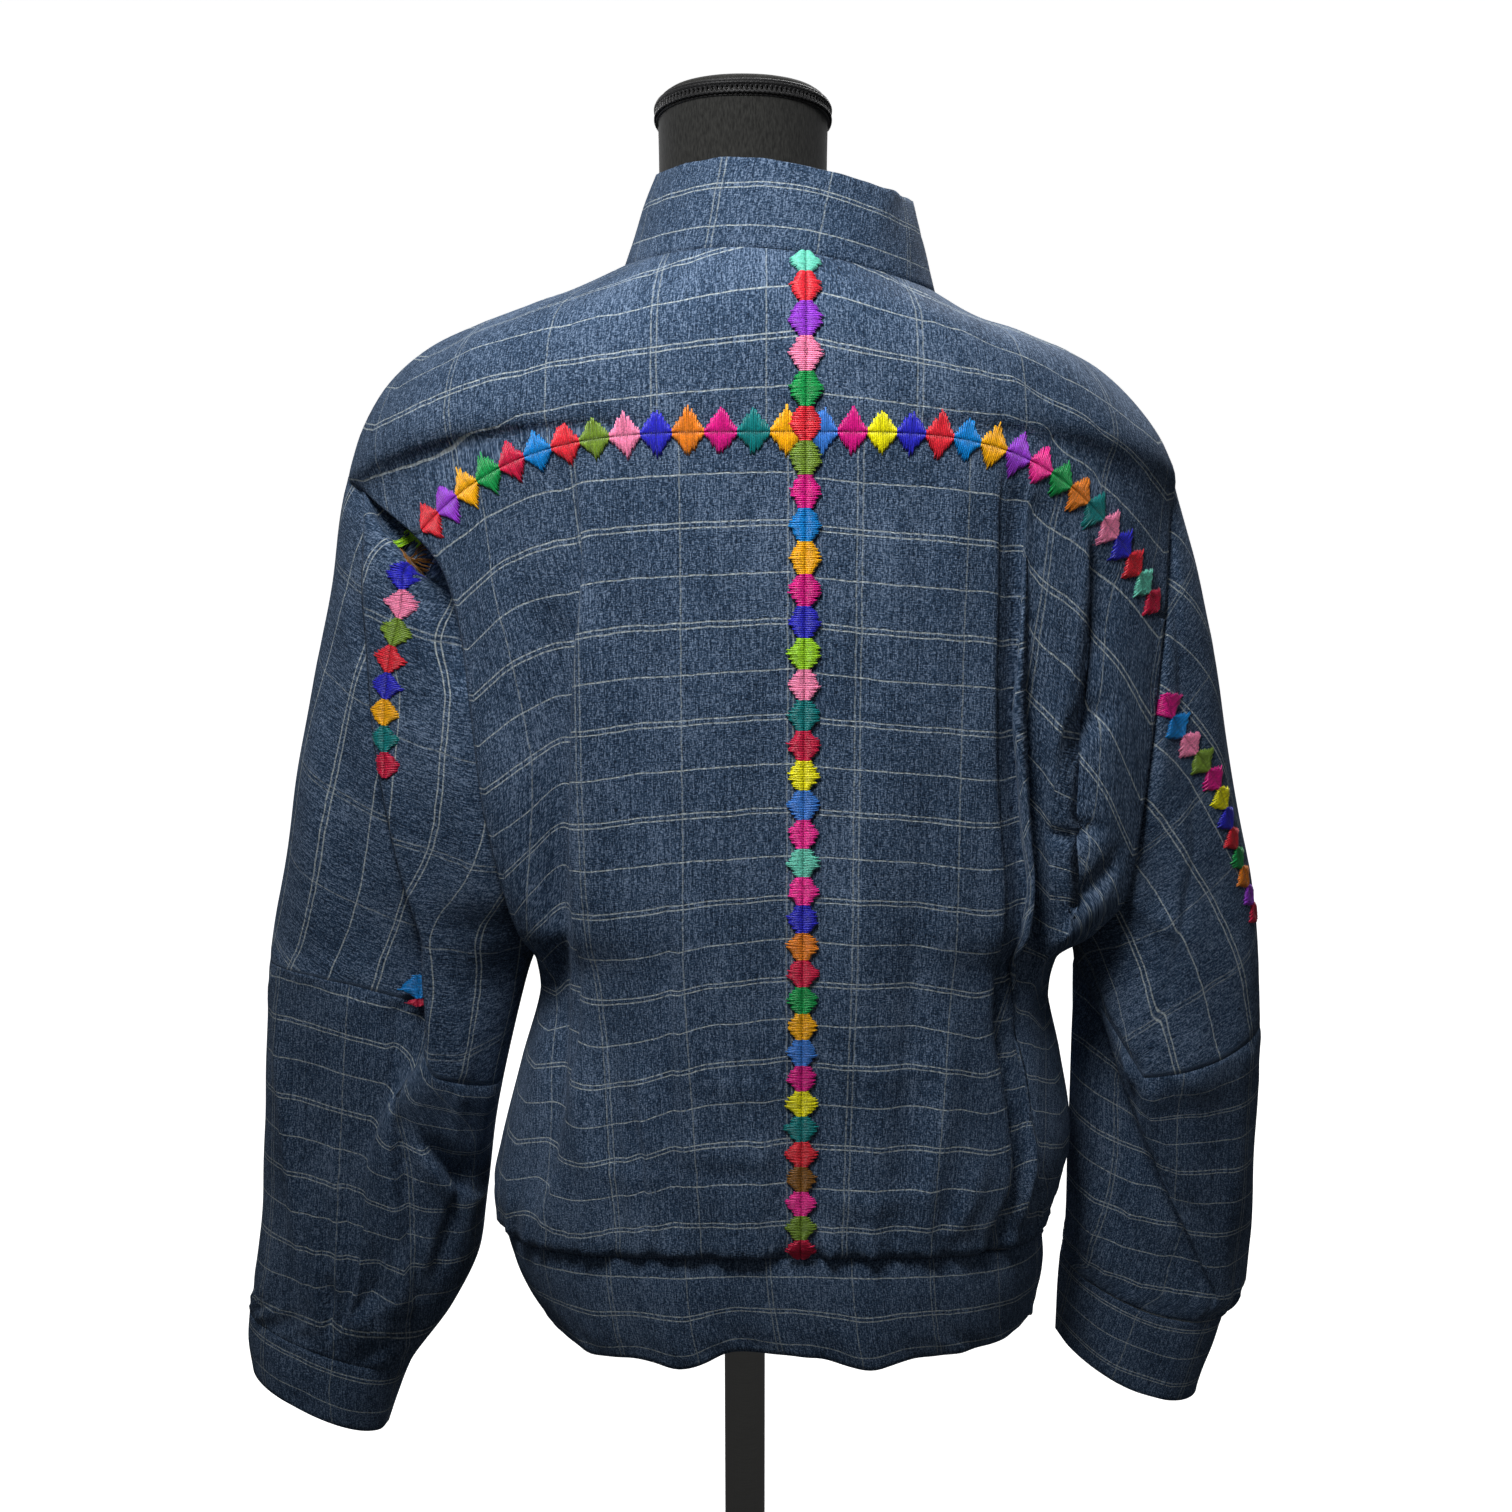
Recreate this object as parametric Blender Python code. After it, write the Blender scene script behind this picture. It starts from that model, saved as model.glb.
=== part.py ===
"""Embroidered blouson jacket on a limbless dress form, modelled in metres with +Z up.

The back of the jacket faces -Y. Every table is in millimetres and has a row for each section of its piece.
"""

import math

import bmesh
import bpy
import numpy as np

MM = 0.001

# Driving dimensions, in millimetres
WALL = 1.05
SEAM_GAP = 0.3
CENTRE_BACK_X = 35.5
CENTRE_FRONT_X = 13.0
ROUNDNESS = 2.5
FRONT_DROOP = 2.2
FOLD_DEPTH = 11.0
FOLD_REACH = 5.0
HOOK_RADIUS = 3.6
FULL_TURN = 16.0
GATHERS = 6
GATHER_DEPTH = 1.6
DROP_LIFT = 0.75
DIP_PLACE = 0.32
THREAD_LIFT = 0.7
THREAD_HEIGHT = 1.3
DIAMOND_WIDTH = 19.0
DIAMOND_WAIST = 5.0
BUTTON_BAND_WIDTH = 30.0
BUTTON_BAND_WALL = 1.5
BUTTON_BAND_LIFT = 0.9
BUTTONS = 7
BUTTON_SIDES = 16
BUTTON_RADIUS = 9.5
BUTTON_HEIGHT = 3.2

# The jacket's sections from neck seam to waist seam. gap is half the armhole's opening at that section, and
# turn is how far the panel's edge turns under there. Both are nought along the shoulder and the side seam.
# A section falls away from the centre to its edges: the higher its droop, the later it falls. rise lifts its left.
BODY_COLUMNS = ("back_z", "back_y", "front_z", "front_y", "left_x", "left_gap", "left_z",
                "right_x", "right_gap", "right_z", "turn", "cells", "left_droop", "right_droop", "rise")
BODY_ROWS = [
    (1015, -88, 955, 82, -72, 0, 1009, 117, 0, 993, 0, 1, 2.2, 1.2, 4),
    (1000, -108, 943, 96, -104, 0, 995, 140, 0, 980, 0, 1, 2.4, 1.5, 3),
    (984, -118, 930, 104, -150, 0, 979, 178, 0, 966, 0, 1, 2.6, 1.8, 2),
    (966, -123, 916, 109, -192, 0, 961, 213, 0, 951, 0, 1, 2.8, 2.1, 1),
    (950, -125, 904, 112, -222, 0, 935, 243, 0, 925, 0, 1, 3.0, 2.5, 0),
    (936, -126, 892, 114, -240, 0, 902, 262, 0, 898, 0, 1, 3.3, 2.8, 0),
    (927, -126, 884, 115, -246, 6, 880, 269, 5, 878, 3, 1, 3.6, 3.1, 0),
    (922, -126, 879, 115, -226, 40, 871, 260, 36, 850, 11, 1, 3.8, 3.4, 0),
    (917, -127, 874, 116, -192, 74, 853, 253, 58, 800, 15, 1, 4.0, 3.6, 0),
    (895, -127, 858, 117, -174, 83, 832, 250, 63, 764, 16, 1, 3.8, 3.4, 0),
    (850, -127, 828, 118, -164, 86, 794, 247, 66, 728, 16, 2, 3.4, 3.0, 0),
    (795, -126, 782, 119, -160, 86, 750, 244, 66, 692, 16, 1, 3.0, 2.7, 0),
    (735, -125, 728, 119, -156, 85, 700, 241, 65, 657, 16, 1, 2.6, 2.4, 0),
    (680, -124, 678, 118, -150, 78, 650, 237, 62, 624, 13, 1, 2.2, 2.2, 0),
    (630, -123, 630, 117, -143, 62, 604, 222, 55, 600, 9, 1, 2.2, 2.2, 0),
    (592, -122, 592, 116, -135, 24, 574, 203, 22, 576, 4, 1, 2.2, 2.2, 0),
    (555, -121, 555, 116, -135, 0, 548, 201, 0, 548, 0, 1, 2.2, 2.2, 0),
    (505, -120, 505, 116, -149, 0, 495, 211, 0, 500, 0, 1, 2.2, 2.2, 0),
    (450, -121, 450, 117, -164, 0, 438, 219, 0, 452, 0, 1, 2.2, 2.2, 0),
    (425, -121, 420, 116, -170, 0, 408, 214, 0, 420, 0, 1, 2.2, 2.2, 0),
    (408, -115, 396, 108, -163, 0, 383, 201, 0, 384, 0, 0, 2.2, 2.2, 0),
]
BAND_ROW = 8

# Where each long fold of the back lies at a section, as a share of the way from centre back to the panel's
# outer edge, and how strongly it is folded there. hollow is the depth of the trough by the right armhole.
FOLD_COLUMNS = ("row", "left", "left_fold", "right", "right_fold", "edge", "rim", "hollow")
FOLD_ROWS = [
    (0, 0.62, 0.0, 0.50, 0.0, 0.62, 0.80, 0),
    (8, 0.60, 0.0, 0.52, 0.0, 0.61, 0.79, 0),
    (9, 0.62, 0.25, 0.52, 0.1, 0.60, 0.79, 4),
    (10, 0.64, 0.6, 0.53, 0.2, 0.61, 0.81, 8),
    (11, 0.68, 0.85, 0.54, 0.2, 0.62, 0.80, 12),
    (12, 0.71, 1.0, 0.56, 0.2, 0.66, 0.80, 17),
    (13, 0.75, 0.9, 0.60, 0.3, 0.71, 0.83, 20),
    (14, 0.78, 0.5, 0.66, 0.4, 0.78, 0.91, 18),
    (15, 0.80, 0.25, 0.71, 0.5, 0.85, 0.95, 5),
    (16, 0.81, 0.1, 0.72, 0.65, 0.88, 0.95, 0),
    (17, 0.80, 0.0, 0.73, 0.85, 0.88, 0.94, 0),
    (18, 0.80, 0.0, 0.73, 0.9, 0.88, 0.94, 0),
    (19, 0.80, 0.0, 0.70, 0.6, 0.87, 0.94, 0),
    (20, 0.80, 0.0, 0.68, 0.4, 0.86, 0.94, 0),
]

# The cloth through a fold: along the section when flat, then along and down into the garment as a step (a fold
# of a half) and as cloth laid over itself (a fold of one)
FOLD_STEPS = [
    (-5.0, -4.8, 0.0, -4.5, 0.0),
    (-3.6, -1.8, 0.3, 0.9, 0.3),
    (-2.1, -0.2, 1.1, 2.7, 2.4),
    (-0.7, 0.3, 2.1, 0.9, 4.6),
    (0.7, 0.3, 3.4, -6.8, 5.5),
    (2.1, 0.8, 4.4, -8.6, 7.5),
    (3.6, 2.4, 5.2, -6.8, 9.5),
    (5.0, 5.0, 5.5, 2.7, 11.0),
]
# The trough by the right armhole: share of its width and share of its depth
HOLLOW_SHAPE = [(0.14, 0.7), (0.36, 1.0), (0.64, 1.0), (0.86, 0.7)]

# Sleeve sections. Above the elbow the inner edge lies under the panel's turned edge, gap from the middle. At the
# back the section steps down by drop from the outer side of its fold to the inner, and hangs by dip.
SLEEVE_COLUMNS = ("outer_x", "outer_z", "inner_x", "gap", "inner_z", "back_y", "front_y", "middle_y", "fold",
                  "folded", "cells", "drop", "dip")
# The elbow seam is at row 9 and the cuff's seam at row 14.
LEFT_SLEEVE_ROWS = [
    (-241, 872, -214, 34, 858, -34, 33, 0, 0.60, 0.0, 1, 0, 0),
    (-249, 857, -180, 64, 838, -64, 62, 0, 0.68, 0.0, 1, 0, 0),
    (-257, 828, -161, 75, 816, -75, 74, 0, 0.70, 0.3, 1, 0, 0),
    (-267, 784, -147, 77.7, 780, -77.7, 77.2, 0, 0.66, 0.6, 1, 0, 0),
    (-277, 738, -141, 77.8, 735, -77.8, 77.4, 0, 0.61, 0.9, 1, 0, 0),
    (-289, 684, -137, 73, 680, -75, 74, 0, 0.53, 1.0, 1, 0, 0),
    (-299, 634, -132, 58, 630, -71, 71, 0, 0.46, 1.0, 1, 0, 0),
    (-306, 604, -129, 20, 598, -68, 68, 0, 0.41, 1.0, 1, 8, 0),
    (-311, 580, -143, 0, 556, -66, 67, 2, 0.35, 1.0, 1, 24, 0),
    (-313, 567, -162, 0, 480, -66, 66, 4, 0.27, 1.0, 1, 45, 0),
    (-320, 505, -169, 0, 446, -60, 74, 10, 0.40, 0.6, 1, 20, 0),
    (-327, 440, -176, 0, 398, -54, 80, 16, 0.48, 0.5, 1, 6, 0),
    (-334, 378, -184, 0, 352, -48, 82, 20, 0.48, 0.5, 1, 0, 0),
    (-343, 330, -206, 0, 304, -40, 80, 22, 0.46, 0.4, 1, 0, 0),
    (-347, 303, -236, 0, 259, -27, 69, 22, 0.45, 0.0, 1, 0, 0),
    (-349, 281, -246, 0, 234, -27, 67, 22, 0.45, 0.0, 1, 0, 0),
    (-347, 258, -254, 0, 211, -26, 66, 22, 0.45, 0.0, 0, 0, 0),
]
RIGHT_SLEEVE_ROWS = [
    (263, 871, 246, 22.5, 840, -22.5, 22.5, 0, 0.60, 0.0, 1, 0, 0),
    (276, 853, 238, 39.5, 804, -39.5, 39.5, 0, 0.60, 0.0, 1, 0, 0),
    (285, 824, 233, 50, 770, -50, 50, 0, 0.60, 0.0, 1, 0, 0),
    (293, 794, 230, 55, 735, -55, 55, 0, 0.60, 0.0, 1, 0, 0),
    (302, 760, 227, 55.5, 700, -56, 58, 0, 0.60, 0.0, 1, 0, 0),
    (311, 716, 224, 54.5, 664, -57, 60, 0, 0.60, 0.1, 1, 0, 0),
    (323, 660, 220, 47, 632, -57, 62, 0, 0.58, 0.2, 1, 0, 0),
    (332, 620, 208, 18, 606, -57, 64, 2, 0.55, 0.2, 1, 0, 4),
    (339, 578, 213, 0, 586, -56, 66, 4, 0.45, 0.1, 1, 0, 22),
    (344, 523, 219, 0, 562, -54, 70, 6, 0.32, 0.0, 1, 0, 47),
    (348, 470, 221, 0, 502, -42, 88, 16, 0.30, -0.5, 1, 0, 22),
    (351, 410, 223, 0, 440, -32, 96, 26, 0.43, -0.75, 1, 0, 6),
    (354, 352, 224, 0, 380, -22, 98, 34, 0.64, -0.6, 1, 0, 0),
    (354, 314, 224, 0, 345, -14, 94, 38, 0.78, -0.35, 1, 0, 0),
    (341, 292, 223, 0, 332, -7, 87, 40, 0.80, 0.0, 1, 0, 0),
    (333, 260, 222, 0, 302, -4, 86, 41, 0.80, 0.0, 1, 0, 0),
    (325, 228, 222, 0, 272, 0, 84, 42, 0.80, 0.0, 0, 0, 0),
]
SLEEVE_PIECES = {"sleeve_upper": (0, 9), "sleeve_lower": (9, 14), "cuff": (14, 16)}

# Collar and waistband, lowest section first: heights and depths at the centres, heights at the sides
BAND_COLUMNS = ("back_z", "back_y", "front_z", "front_y", "left_x", "left_z", "right_x", "right_z", "left_droop",
                "right_droop", "rise")
COLLAR_ROWS = [
    (1015.3, -88, 955.3, 82, -72, 1009.3, 117, 993.3, 2.2, 1.2, 4),
    (1031, -86, 972, 80, -66, 1026, 112, 1012, 2.2, 1.2, 4.5),
    (1047, -83, 990, 77, -60, 1044, 107, 1030, 2.2, 1.1, 5),
    (1062, -80, 1008, 74, -53, 1061, 102, 1046, 2.2, 1.1, 5.5),
]
WAISTBAND_ROWS = [
    (337, -112, 325, 104, -138, 322, 196, 322, 1.4, 1.6, 0),
    (360, -116, 348, 107, -150, 342, 200, 341, 1.7, 1.8, 0),
    (385, -117, 373, 109, -159, 364, 203, 362, 2.2, 2.2, 0),
    (407.7, -115, 395.7, 108, -163, 382.7, 201, 383.7, 2.2, 2.2, 0),
]

# The dress form's sections: height, half width and half depth, with its middle's distance from the axis
FORM_ROWS = [
    (372, 128, 88, 0), (400, 133, 92, 0), (480, 132, 93, 0), (580, 122, 88, 0), (680, 130, 96, 0),
    (780, 146, 106, 0), (850, 152, 106, 0), (900, 158, 98, 0), (940, 160, 84, 0), (962, 158, 70, -1),
    (974, 149, 64, -2), (981, 134, 60, -3), (989, 115, 56, -4), (996, 96, 54, -5), (1003, 74, 53, -6),
    (1012, 60, 52, -6), (1026, 53, 51, -5), (1060, 50.5, 50, -2), (1101, 51, 50, 0),
]
NECK_TILT = 0.24
CAP_RISE = 7.0
BRAID_RADIUS = 2.4
POLE_RADIUS = 14.0
BASE_RADIUS = 150.0
BASE_HEIGHT = 14.0
CANVAS_SIDES = 28

CLOTH = ("indigo_cloth", (0.038, 0.066, 0.125), 0.86, 0.0)
THREAD_PINK = ("satin_thread", (0.72, 0.02, 0.19), 0.42, 0.0)
FORM_BLACK = ("form_cloth", (0.012, 0.012, 0.013), 0.88, 0.0)
BRAID_BLACK = ("gimp_braid", (0.006, 0.006, 0.007), 0.6, 0.0)
STAND_STEEL = ("brushed_steel", (0.56, 0.56, 0.55), 0.32, 1.0)
BASE_BLACK = ("powder_coat", (0.02, 0.02, 0.021), 0.5, 0.0)
BUTTON_NAVY = ("button_resin", (0.02, 0.03, 0.06), 0.3, 0.0)


def clear_scene():
    for thing in list(bpy.data.objects):
        bpy.data.objects.remove(thing, do_unlink=True)


def material(spec):
    """The named Principled material, made once."""
    name, colour, roughness, metallic = spec
    found = bpy.data.materials.get(name)
    if found:
        return found
    made = bpy.data.materials.new(name)
    made.use_nodes = True
    shader = made.node_tree.nodes["Principled BSDF"]
    shader.inputs["Base Color"].default_value = (*colour, 1.0)
    shader.inputs["Roughness"].default_value = roughness
    shader.inputs["Metallic"].default_value = metallic
    made.diffuse_color = (*colour, 1.0)
    return made


def columns_of(rows, names):
    """A table as a dictionary of its named columns."""
    return dict(zip(names, np.array(rows, float).T))


def soft_curve(knots, values, places):
    """A smooth curve through the values at the knots that never swings past them, read at the places."""
    knots = np.asarray(knots, float)
    values = np.asarray(values, float)
    places = np.clip(np.asarray(places, float), knots[0], knots[-1])
    widths = np.diff(knots)
    rises = np.diff(values) / widths
    slopes = np.zeros(len(values))
    slopes[0], slopes[-1] = rises[0], rises[-1]
    for k in range(1, len(values) - 1):
        if rises[k - 1] * rises[k] > 0:
            slopes[k] = 2 * rises[k - 1] * rises[k] / (rises[k - 1] + rises[k])
    k = np.clip(np.searchsorted(knots, places, side="right") - 1, 0, len(widths) - 1)
    t = (places - knots[k]) / widths[k]
    rise = t * t * (3 - 2 * t)
    start = t * (1 - t) ** 2 * widths[k]
    stop = t * t * (t - 1) * widths[k]
    return values[k] * (1 - rise) + values[k + 1] * rise + slopes[k] * start + slopes[k + 1] * stop


def row_places(cells):
    """The rows to build: each section, with the cells between it and the next."""
    places = []
    for k, count in enumerate(cells[:-1]):
        places += [k + step / count for step in range(int(count))]
    return np.array(places + [len(cells) - 1.0])


def smooth_step(value):
    value = np.clip(value, 0, 1)
    return value * value * (3 - 2 * value)


def fold_steps(amount):
    """Steps along the cloth and into the garment through a fold of this strength."""
    flat, step, step_down, lap, lap_down = np.array(FOLD_STEPS).T
    if amount < 0.5:
        return flat + (step - flat) * 2 * amount, step_down * 2 * amount
    over = 2 * amount - 1
    return step + (lap - step) * over, step_down + (lap_down - step_down) * over


class Panel:
    """One side of the back or front, from the centre line to its outer edge. front is +1 or -1 (back)."""

    def __init__(self, left, front):
        self.table = columns_of(BODY_ROWS, BODY_COLUMNS)
        self.folds = columns_of(FOLD_ROWS, FOLD_COLUMNS)
        self.left = left
        self.front = front
        self.side = -1.0 if left else 1.0

    def read(self, name, row):
        return float(soft_curve(np.arange(len(BODY_ROWS)), self.table[name], row))

    def fold(self, name, row):
        return float(soft_curve(self.folds["row"], self.folds[name], row))

    def anchors(self, row):
        """The centre-line point and the outer-edge point of a section, and how open it is there."""
        half, side = ("front", "back")[self.front < 0], ("right", "left")[self.left]
        centre_x = CENTRE_FRONT_X if self.front > 0 else CENTRE_BACK_X
        centre = np.array([centre_x, self.read(half + "_y", row), self.read(half + "_z", row)])
        edge = np.array([self.read(side + "_x", row), self.front * self.read(side + "_gap", row),
                         self.read(side + "_z", row)])
        return centre, edge, min(1.0, self.read("turn", row) / FULL_TURN)

    def base(self, row, share):
        """The plain surface, before its folds: share runs from 0 at the centre line to 1 at the outer edge."""
        centre, edge, opened = self.anchors(row)
        share = np.clip(np.asarray(share, float), 0, 1)
        x = centre[0] + (edge[0] - centre[0]) * share
        depth = np.clip(1 - share ** ROUNDNESS, 0, 1) ** (0.5 + 0.5 * opened)
        y = edge[1] + (centre[1] - edge[1]) * depth
        back = self.front < 0
        droop = self.read(("right", "left")[self.left] + "_droop", row) if back else FRONT_DROOP
        rise = self.read("rise", row) * (self.left and back) * np.sin(np.pi * share)
        return np.stack([x, y, centre[2] + (edge[2] - centre[2]) * share ** droop + rise], -1)

    def directions(self, row, share):
        """Unit steps outwards along the section and into the garment."""
        ahead, behind = self.base(row, share + 0.01), self.base(row, share - 0.01)
        run = unit(ahead - behind)
        inward = np.stack([-run[..., 1] * self.side * self.front, run[..., 0] * self.side * self.front,
                           np.zeros_like(run[..., 0])], -1)
        return run, unit(-inward)

    def stations(self, row, parts):
        """Points along a section as (share, steps along the cloth, steps into the garment)."""
        opened = self.anchors(row)[2]
        last = 1 - 0.06 * (1 - opened)
        if self.front > 0:
            shares = last * np.linspace(0, 1, parts["front"] + 1)
            swell = np.sin(shares * 9.4 + 0.6) * smooth_step(shares * 3) * (1 - shares)
            return [(share, 0.0, 5.0 * down * smooth_step((row - 6) / 5)) for share, down in zip(shares, swell)]
        if self.left:
            return self.folded(row, self.fold("left", row), self.fold("left_fold", row), last,
                               parts["inner"], parts["outer"])
        stop = self.fold("edge", row) * last
        points = self.folded(row, self.fold("right", row), self.fold("right_fold", row), stop, parts["inner"], 2)
        rim, deep = self.fold("rim", row) * last, self.fold("hollow", row)
        points += [(stop + (rim - stop) * share, 0.0, deep * down) for share, down in HOLLOW_SHAPE]
        points += [(share, 0.0, 0.0) for share in np.linspace(rim, last, 4)]
        return points

    def folded(self, row, place, amount, stop, inner, outer):
        """Even points up to a fold, the fold itself, and even points on to stop."""
        width = abs(self.anchors(row)[1][0] - self.anchors(row)[0][0])
        scale = min(1.0, 0.0055 * width)
        reach = 2 * FOLD_REACH * scale / width
        before, after = place - reach, place + reach
        points = [(share, 0.0, 0.0) for share in np.linspace(0, before, inner)]
        points += [(place, along * scale, down) for along, down in zip(*fold_steps(amount))]
        for step in np.linspace(0, 1, outer + 1):
            points.append((after + (stop - after) * step, 0.0, amount * FOLD_DEPTH * (1 - smooth_step(step))))
        return points

    def section(self, row, parts):
        """All points of one section, from the centre line over the folds to the turned edge."""
        shares, along, into = np.array(self.stations(row, parts)).T
        run, inward = self.directions(row, shares)
        points = self.base(row, shares) + run * along[:, None] + inward * into[:, None]
        _, edge, opened = self.anchors(row)
        last = 1 - 0.06 * (1 - opened)
        hooks = []
        hooked = min(1.0, max(0.0, (opened - 0.45) / 0.55))
        for k, (out, down) in enumerate([(HOOK_RADIUS, HOOK_RADIUS), (0.0, 2 * HOOK_RADIUS),
                                         (-FULL_TURN, 2.15 * HOOK_RADIUS)], start=1):
            plain = self.base(row, last + (1 - last) * k / 3)
            turned_under = edge + np.array([self.side * out, -self.front * down, 0.0])
            hooks.append((1 - hooked) * plain + hooked * turned_under)
        return np.concatenate([points, np.array(hooks)])

    def grid(self, parts, rows=None):
        places = row_places(self.table["cells"]) if rows is None else rows
        return np.array([self.section(row, parts) for row in places]), places


class Sleeve:
    """A sleeve's surface: each section runs from the inner edge at the back, round the outside, to the front."""

    def __init__(self, left):
        self.table = columns_of(LEFT_SLEEVE_ROWS if left else RIGHT_SLEEVE_ROWS, SLEEVE_COLUMNS)
        self.left = left

    def read(self, name, row):
        return float(soft_curve(np.arange(len(self.table[name])), self.table[name], row))

    def half(self, row, share, front):
        """Points of one half at the shares from the inner edge to the outer edge."""
        inner = np.array([self.read("inner_x", row), self.read("inner_z", row)])
        outer = np.array([self.read("outer_x", row), self.read("outer_z", row)])
        middle = self.read("middle_y", row)
        deep = abs(self.read("front_y" if front else "back_y", row) - middle)
        gap = min(self.read("gap", row), deep)
        share = np.clip(np.asarray(share, float), 0, 1)
        inside = np.clip(1 - (1 - share) ** 3.0, 0, 1) ** 0.5
        outside = np.clip(1 - share ** 3.0, 0, 1) ** 0.5
        y = (gap + (deep - gap) * inside) * outside
        x = inner[0] + (outer[0] - inner[0]) * share
        z = outer[1] + (inner[1] - outer[1]) * (1 - share) ** 1.5
        return np.stack([x, middle + (y if front else -y), z], -1)

    def spread(self, row, steps):
        """Shares for even steps: close together where the section turns sharply."""
        deep = abs(self.read("back_y", row) - self.read("middle_y", row))
        opened = smooth_step(self.read("gap", row) / max(deep, 1.0))
        both = (1 - np.cos(np.pi * steps)) / 2
        one = np.sin(np.pi * steps / 2)
        return both * (1 - opened) + one * opened

    def section(self, row, inner, outer, front):
        place, amount = self.read("fold", row), self.read("folded", row)
        width = abs(self.read("outer_x", row) - self.read("inner_x", row))
        scale = min(1.0, 0.012 * width)
        reach = 1.6 * FOLD_REACH * scale / width
        before = self.spread(row, np.linspace(0, 1, 41))
        shares, downs = [], []
        edge = place - reach
        full = np.interp(edge, before, np.linspace(0, 1, 41))
        inner_over = amount >= 0
        amount = abs(amount)
        along, into = fold_steps(amount)
        if not inner_over:
            along, into = -along[::-1], into[::-1]
        for k, step in enumerate(np.linspace(0, full, inner + 1)):
            shares.append(float(self.spread(row, step)))
            downs.append(0.0 if inner_over else amount * FOLD_DEPTH * smooth_step(k / inner))
        shares += list(place + along * scale / width)
        downs += list(into)
        edge = place + reach
        full = np.interp(edge, before, np.linspace(0, 1, 41))
        for k, step in enumerate(np.linspace(full, 1, outer + 1)[:-1]):
            shares.append(float(self.spread(row, step)))
            downs.append(amount * FOLD_DEPTH * (1 - smooth_step(k / (outer - 1.0))) if inner_over else 0.0)
        back = self.half(row, shares, False)
        back[:, 1] += np.array(downs)
        back[:, 2] += self.hang(row, np.array(shares), place, len(into), inner + 1)
        steps = np.linspace(1, 0, front + 1)
        face = self.half(row, self.spread(row, steps), True)
        points = np.concatenate([back, face])
        away = points - points.mean(axis=0)
        gathered = math.sin(math.pi * min(1.0, max(0.0, (row - 11.5) / 2.5)))
        wave = GATHER_DEPTH * gathered * np.sin(GATHERS * np.arctan2(away[:, 1], away[:, 0]))
        return points + unit(away) * wave[:, None]

    def hang(self, row, shares, place, steps, first):
        """The change in height along the back of a section: a step through its fold, and a dip."""
        drop, dip = self.read("drop", row), self.read("dip", row)
        outside = np.concatenate([np.zeros(first), np.linspace(0, 1, steps), np.ones(len(shares) - first - steps)])
        shares = np.clip(shares, 0, 1)
        step = (drop * (outside * DROP_LIFT * np.minimum(1, (1 - shares) / (1 - place))
                        - (1 - outside) * (1 - DROP_LIFT) * np.minimum(1, shares / place)))
        return step - dip * np.minimum(shares / DIP_PLACE, (1 - shares) / (1 - DIP_PLACE))

    def grid(self, inner=4, outer=6, front=8, rows=None):
        places = row_places(self.table["cells"]) if rows is None else rows
        return np.array([self.section(row, inner, outer, front) for row in places]), places


def unit(vectors):
    return vectors / np.maximum(np.linalg.norm(vectors, axis=-1, keepdims=True), 1e-9)


class Surface:
    """A grid of points with its outward normals and the unit steps along its rows and down its columns."""

    def __init__(self, grid):
        self.grid = grid
        self.along = unit(np.gradient(grid, axis=1))
        self.down = unit(np.gradient(grid, axis=0))
        self.normals = unit(np.cross(self.down, self.along))

    def square(self, column, axis, amounts):
        """Turns the normals of one edge column square to an axis, as the panel over the seam has them."""
        self.normals[:, column, axis] *= amounts
        self.normals[:, column] = unit(self.normals[:, column])

    def rows(self, first, last):
        """The strip between two rows, which keeps the whole surface's directions."""
        strip = Surface.__new__(Surface)
        for name in ("grid", "along", "down", "normals"):
            setattr(strip, name, getattr(self, name)[first:last])
        return strip

    def inset(self, edges, gap):
        """The grid with its named edges moved inwards by half a seam gap: top, bottom, start, stop."""
        grid = self.grid.copy()
        if "top" in edges:
            grid[0] += self.down[0] * gap / 2
        if "bottom" in edges:
            grid[-1] -= self.down[-1] * gap / 2
        if "start" in edges:
            grid[:, 0] += self.along[:, 0] * gap / 2
        if "stop" in edges:
            grid[:, -1] -= self.along[:, -1] * gap / 2
        return grid


def mesh_object(name, points, faces, spec):
    """An object from points in millimetres, with its faces turned outwards."""
    mesh = bpy.data.meshes.new(name)
    mesh.from_pydata([tuple(point * MM) for point in np.asarray(points, float)], [], faces)
    made = bmesh.new()
    made.from_mesh(mesh)
    bmesh.ops.recalc_face_normals(made, faces=made.faces)
    made.to_mesh(mesh)
    made.free()
    mesh.materials.append(material(spec))
    mesh.shade_smooth()
    mesh.set_sharp_from_angle(angle=math.radians(50))
    thing = bpy.data.objects.new(name, mesh)
    bpy.context.scene.collection.objects.link(thing)
    return thing


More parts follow.
